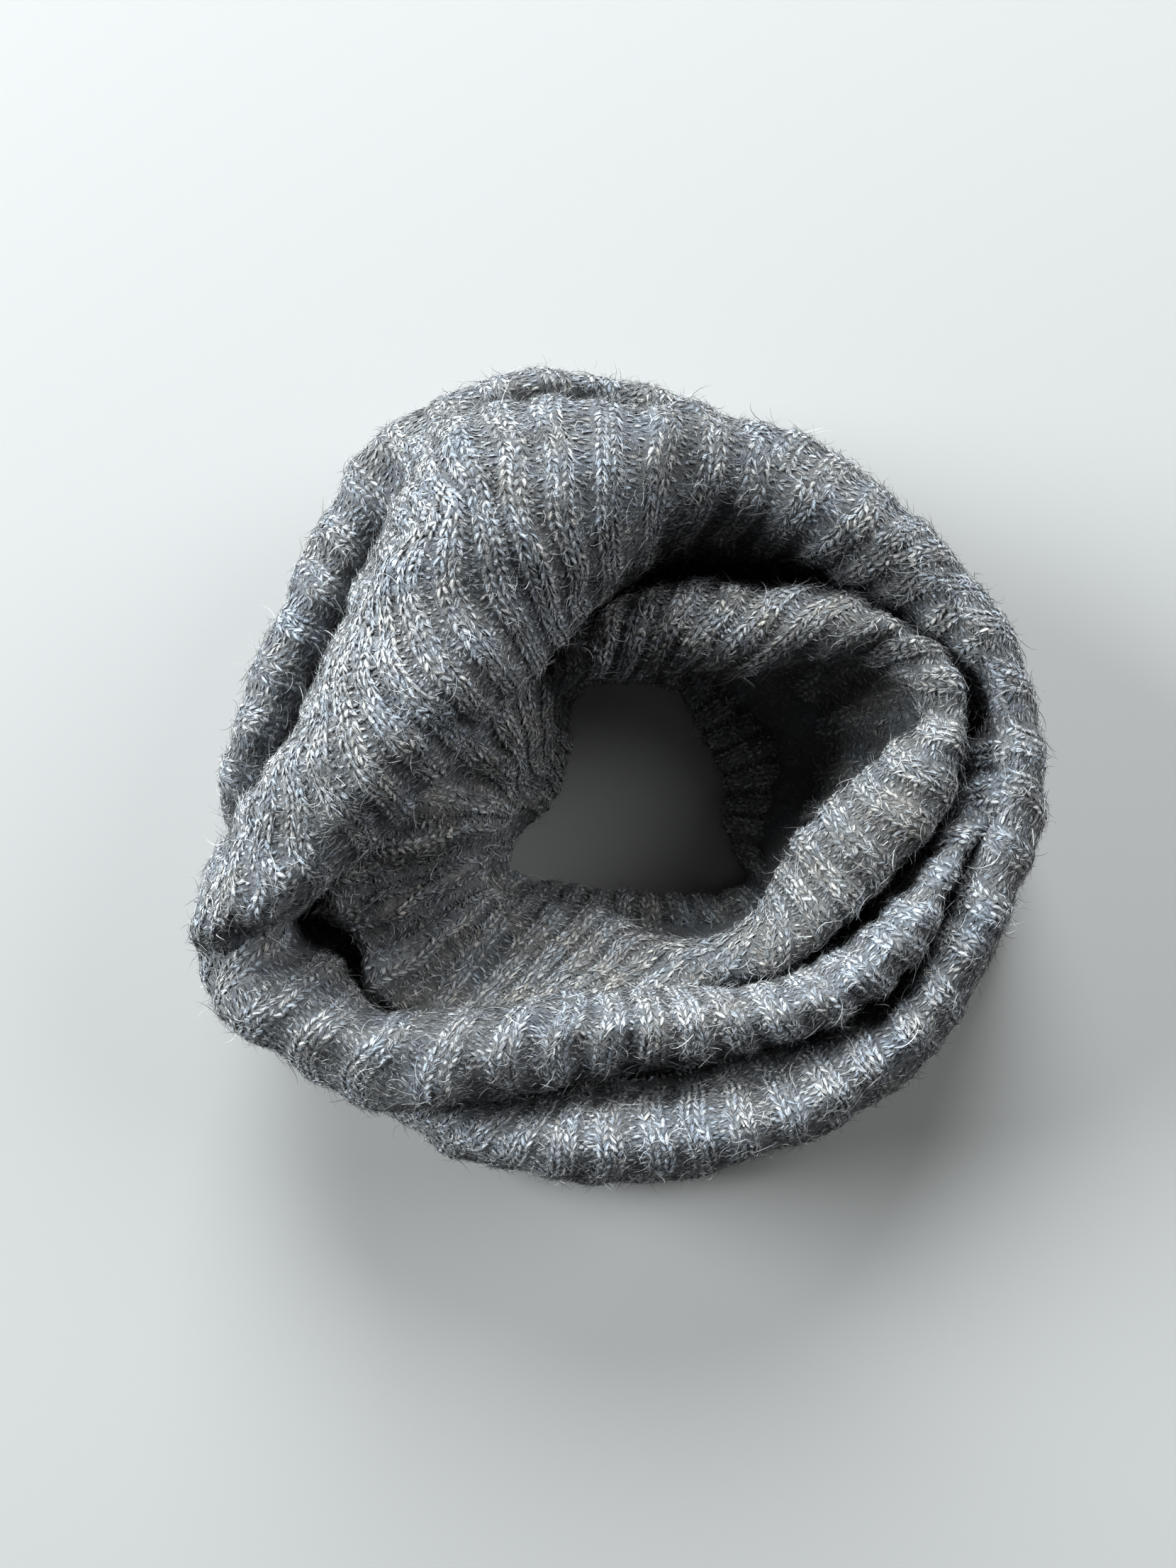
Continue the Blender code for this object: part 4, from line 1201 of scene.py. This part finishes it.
def line_threads(build, place, scale, width, seed):
    """Thin curling lines, like loose hairs on the cloth: where a soft noise crosses its middle value."""
    shift = {0: place, 1: (seed, seed * 0.7, seed * 1.3)}
    moved = build.add("ShaderNodeVectorMath", shift, operation="ADD").outputs[0]
    off_line = build.maths("ABSOLUTE", build.minus(build.noise(moved, scale, 1.0, Distortion=1.2), 0.5))
    fall = {"Value": off_line, "From Min": 0.0, "From Max": width, "To Min": 1.0, "To Max": 0.0}
    return build.add("ShaderNodeMapRange", fall).outputs[0]


def wool(name, tones, tint_shift, stitched=True):
    """Melange wool: tones from dark to light, tints of blue and brown, fine hairs over all, and painted
    light on knit columns with painted shade in purl ones.
    """
    material, shader = new_material(name, 1.0)
    build = Tree(material.node_tree)
    place = build.add("ShaderNodeTexCoord").outputs["Object"]
    speckle = build.noise(place, **SPECKLE)
    clouds = build.noise(place, **CLOUDS)
    drift = build.plus(build.times(build.noise(place, **DRIFT), SLOW_TINT), 0.5 - SLOW_TINT / 2)
    value = build.plus(build.times(speckle, SPECKLE_SHARE), build.times(clouds, CLOUD_SHARE))
    value = build.minus(value, GROUND_DARKER)
    # Painted light on the raised knit columns, painted shade in the sunken purl ones
    value = build.plus(value, build.times(build.attribute("on_knit"), GROUND_RIB_PAINTED_LIGHT))
    raised = speckle
    if stitched:
        shade = build.attribute("shade")
        parts = build.add("ShaderNodeSeparateXYZ", {0: build.attribute("on_yarn", "Vector")})
        x, y = parts.outputs[0], parts.outputs[1]
        round_top = build.minus(1.0, build.edge(y, SIDE_POWER))
        core = build.times(round_top, build.minus(1.0, build.edge(x, END_POWER)))
        along = build.plus(build.times(x, STREAK_ALONG), build.times(shade, SHADE_ALONG))
        spot = {0: along, 1: build.times(y, STREAK_ACROSS), 2: build.times(shade, SHADE_ACROSS)}
        strand = build.add("ShaderNodeCombineXYZ", spot).outputs[0]
        streaks = build.minus(build.noise(strand, **STREAKS), 0.5)
        streaked = build.plus(shade, build.times(streaks, STREAK_STRENGTH))
        streaked = build.plus(streaked, build.times(build.minus(speckle, 0.5), SPECK_STRENGTH))
        value = build.add("ShaderNodeMix", {0: core, 2: value, 3: streaked}, data_type="FLOAT").outputs[0]
        steps = build.times(shade, OWN_TINT_STEPS)
        own = build.add("ShaderNodeTexWhiteNoise", {"W": steps}, noise_dimensions="1D")
        drift = build.plus(drift, build.times(build.minus(own.outputs[0], 0.5), OWN_TINT))
        raised = build.plus(raised, build.times(round_top, ROUNDNESS))
    hairs = build.maths("MAXIMUM", *(line_threads(build, place, *threads) for threads in THREADS))
    tone = build.ramp(build.plus(value, build.times(hairs, HAIR_LIGHTER)), tones)
    tint = build.ramp(build.plus(drift, tint_shift), TINTS)
    tinted = build.add("ShaderNodeMix", data_type="RGBA", blend_type="MULTIPLY")
    tinted.inputs["Factor"].default_value = 1.0
    link = build.tree.links.new
    link(tone, tinted.inputs["A"])
    link(tint, tinted.inputs["B"])
    link(tinted.outputs["Result"], shader.inputs["Base Color"])
    raised = build.plus(raised, build.times(hairs, HAIR_RISE))
    bumped = build.add("ShaderNodeBump", {"Height": raised, "Strength": 0.6, "Distance": 0.0005})
    link(bumped.outputs["Normal"], shader.inputs["Normal"])
    shader.inputs["Specular IOR Level"].default_value = 0.1
    shader.inputs["Sheen Weight"].default_value = 0.12
    shader.inputs["Sheen Roughness"].default_value = 0.5
    return material


def fibre_wool(name):
    """Loose fibres: a tone for each, dark to near white."""
    material, shader = new_material(name, 0.7)
    build = Tree(material.node_tree)
    tone = build.ramp(build.attribute("shade"), FIBRE_TONES)
    build.tree.links.new(tone, shader.inputs["Base Color"])
    return material


def changed(tones, factors):
    return tuple((at, tuple(part * factor for part, factor in zip(tone, factors))) for at, tone in tones)


def make_materials():
    """Yarn and felted ground for the outside, the same with painted shade and painted brown bounce inside, a
    much darker painted-shade ground for the hidden layers, and loose fibres.
    """
    brown = changed(TONES, INSIDE_SHADE_AND_BOUNCE)
    return {
        "outside": (wool("melange_yarn", TONES, 0.0), wool("felted_ground", TONES, 0.0, stitched=False)),
        "inside": (
            wool("inside_yarn", brown, INSIDE_BOUNCE_TINT),
            wool("inside_ground", brown, INSIDE_BOUNCE_TINT, stitched=False),
        ),
        "deep": wool("deep_ground", changed(TONES, DEEP_SHADE_AND_BOUNCE), DEEP_BOUNCE_TINT, stitched=False),
        "fibre": fibre_wool("loose_fibre"),
    }


def soft_light(name, place, energy, colour):
    """A large area light that faces the middle of the scarf."""
    light = bpy.data.lights.new(name, "AREA")
    light.shape = "DISK"
    light.size = WINDOW_SIZE
    light.energy = energy
    light.color = colour
    obj = set_in_scene(name, light)
    obj.location = place
    obj.rotation_mode = "QUATERNION"
    obj.rotation_quaternion = (Vector(LIT_SPOT) - obj.location).to_track_quat("-Z", "Y")


def set_stage():
    """Pale floor, soft studio light and a camera that looks straight down on the heap."""
    floor_colour, shader = new_material("pale_floor", 0.9)
    shader.inputs["Base Color"].default_value = FLOOR_COLOUR
    half = FLOOR_SIZE / 2
    corners = [(-half, -half, 0), (half, -half, 0), (half, half, 0), (-half, half, 0)]
    floor = new_object("floor", corners, [(0, 1, 2, 3)], floor_colour)
    world = bpy.data.worlds.new("studio")
    world.use_nodes = True
    backdrop = world.node_tree.nodes["Background"]
    backdrop.inputs["Color"].default_value = BACKDROP_COLOUR
    backdrop.inputs["Strength"].default_value = BACKDROP_STRENGTH
    bpy.context.scene.world = world
    bpy.context.scene.view_settings.view_transform = "Standard"
    for name, place, energy, colour in WINDOWS:
        soft_light(name, place, energy, colour)
    eye = bpy.data.cameras.new("camera")
    eye.sensor_width = SENSOR_WIDTH
    eye.lens = LENS
    camera = set_in_scene("camera", eye)
    camera.location = Vector(CAMERA) * METRES
    bpy.context.scene.camera = camera


def main():
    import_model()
    materials = make_materials()
    fibre = materials["fibre"]
    leg_tree, hair_tree = yarn_leg_tree(), fibre_tree()
    stretches = lay_out_stretches()
    curls, long = [], []
    for number, stretch in enumerate(stretches):
        # Inside stretches get the copies of the wool with painted shade and painted brown bounce
        yarn, ground = materials["inside" if SLOTS[stretch.name] == "inside_wool" else "outside"]
        shell = cloth_shell(stretch, ground)
        strands = stitch_strands(stretch)
        stitches = grow(stretch.name + "_stitches", strands, leg_tree, {"Stations": 4}, yarn)
        short = loose_fibres(stretch, FUZZ, number)
        fuzz = grow(stretch.name + "_fuzz", short, hair_tree, FUZZ["blade"], fibre)
        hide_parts(stretch.name)
        for piece in (shell, stitches, fuzz):
            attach(piece, "root")
        curls.append(loose_fibres(stretch, CURLS, number))
        long.append(loose_fibres(stretch, LONG_HAIRS, number))
    for name, kind, places in (("curled_fibres", CURLS, curls), ("long_fibres", LONG_HAIRS, long)):
        hairs = grow(name, join_places(places), hair_tree, kind["blade"], fibre)
        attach(hairs, "root")
    # The hidden layers get the much darker, browner wool: painted shade and painted brown bounce in the deep
    # hollows between the folds
    core = bpy.data.objects["hidden_layers"]
    for slot in core.material_slots:
        slot.material = materials["deep"]
    set_stage()


main()
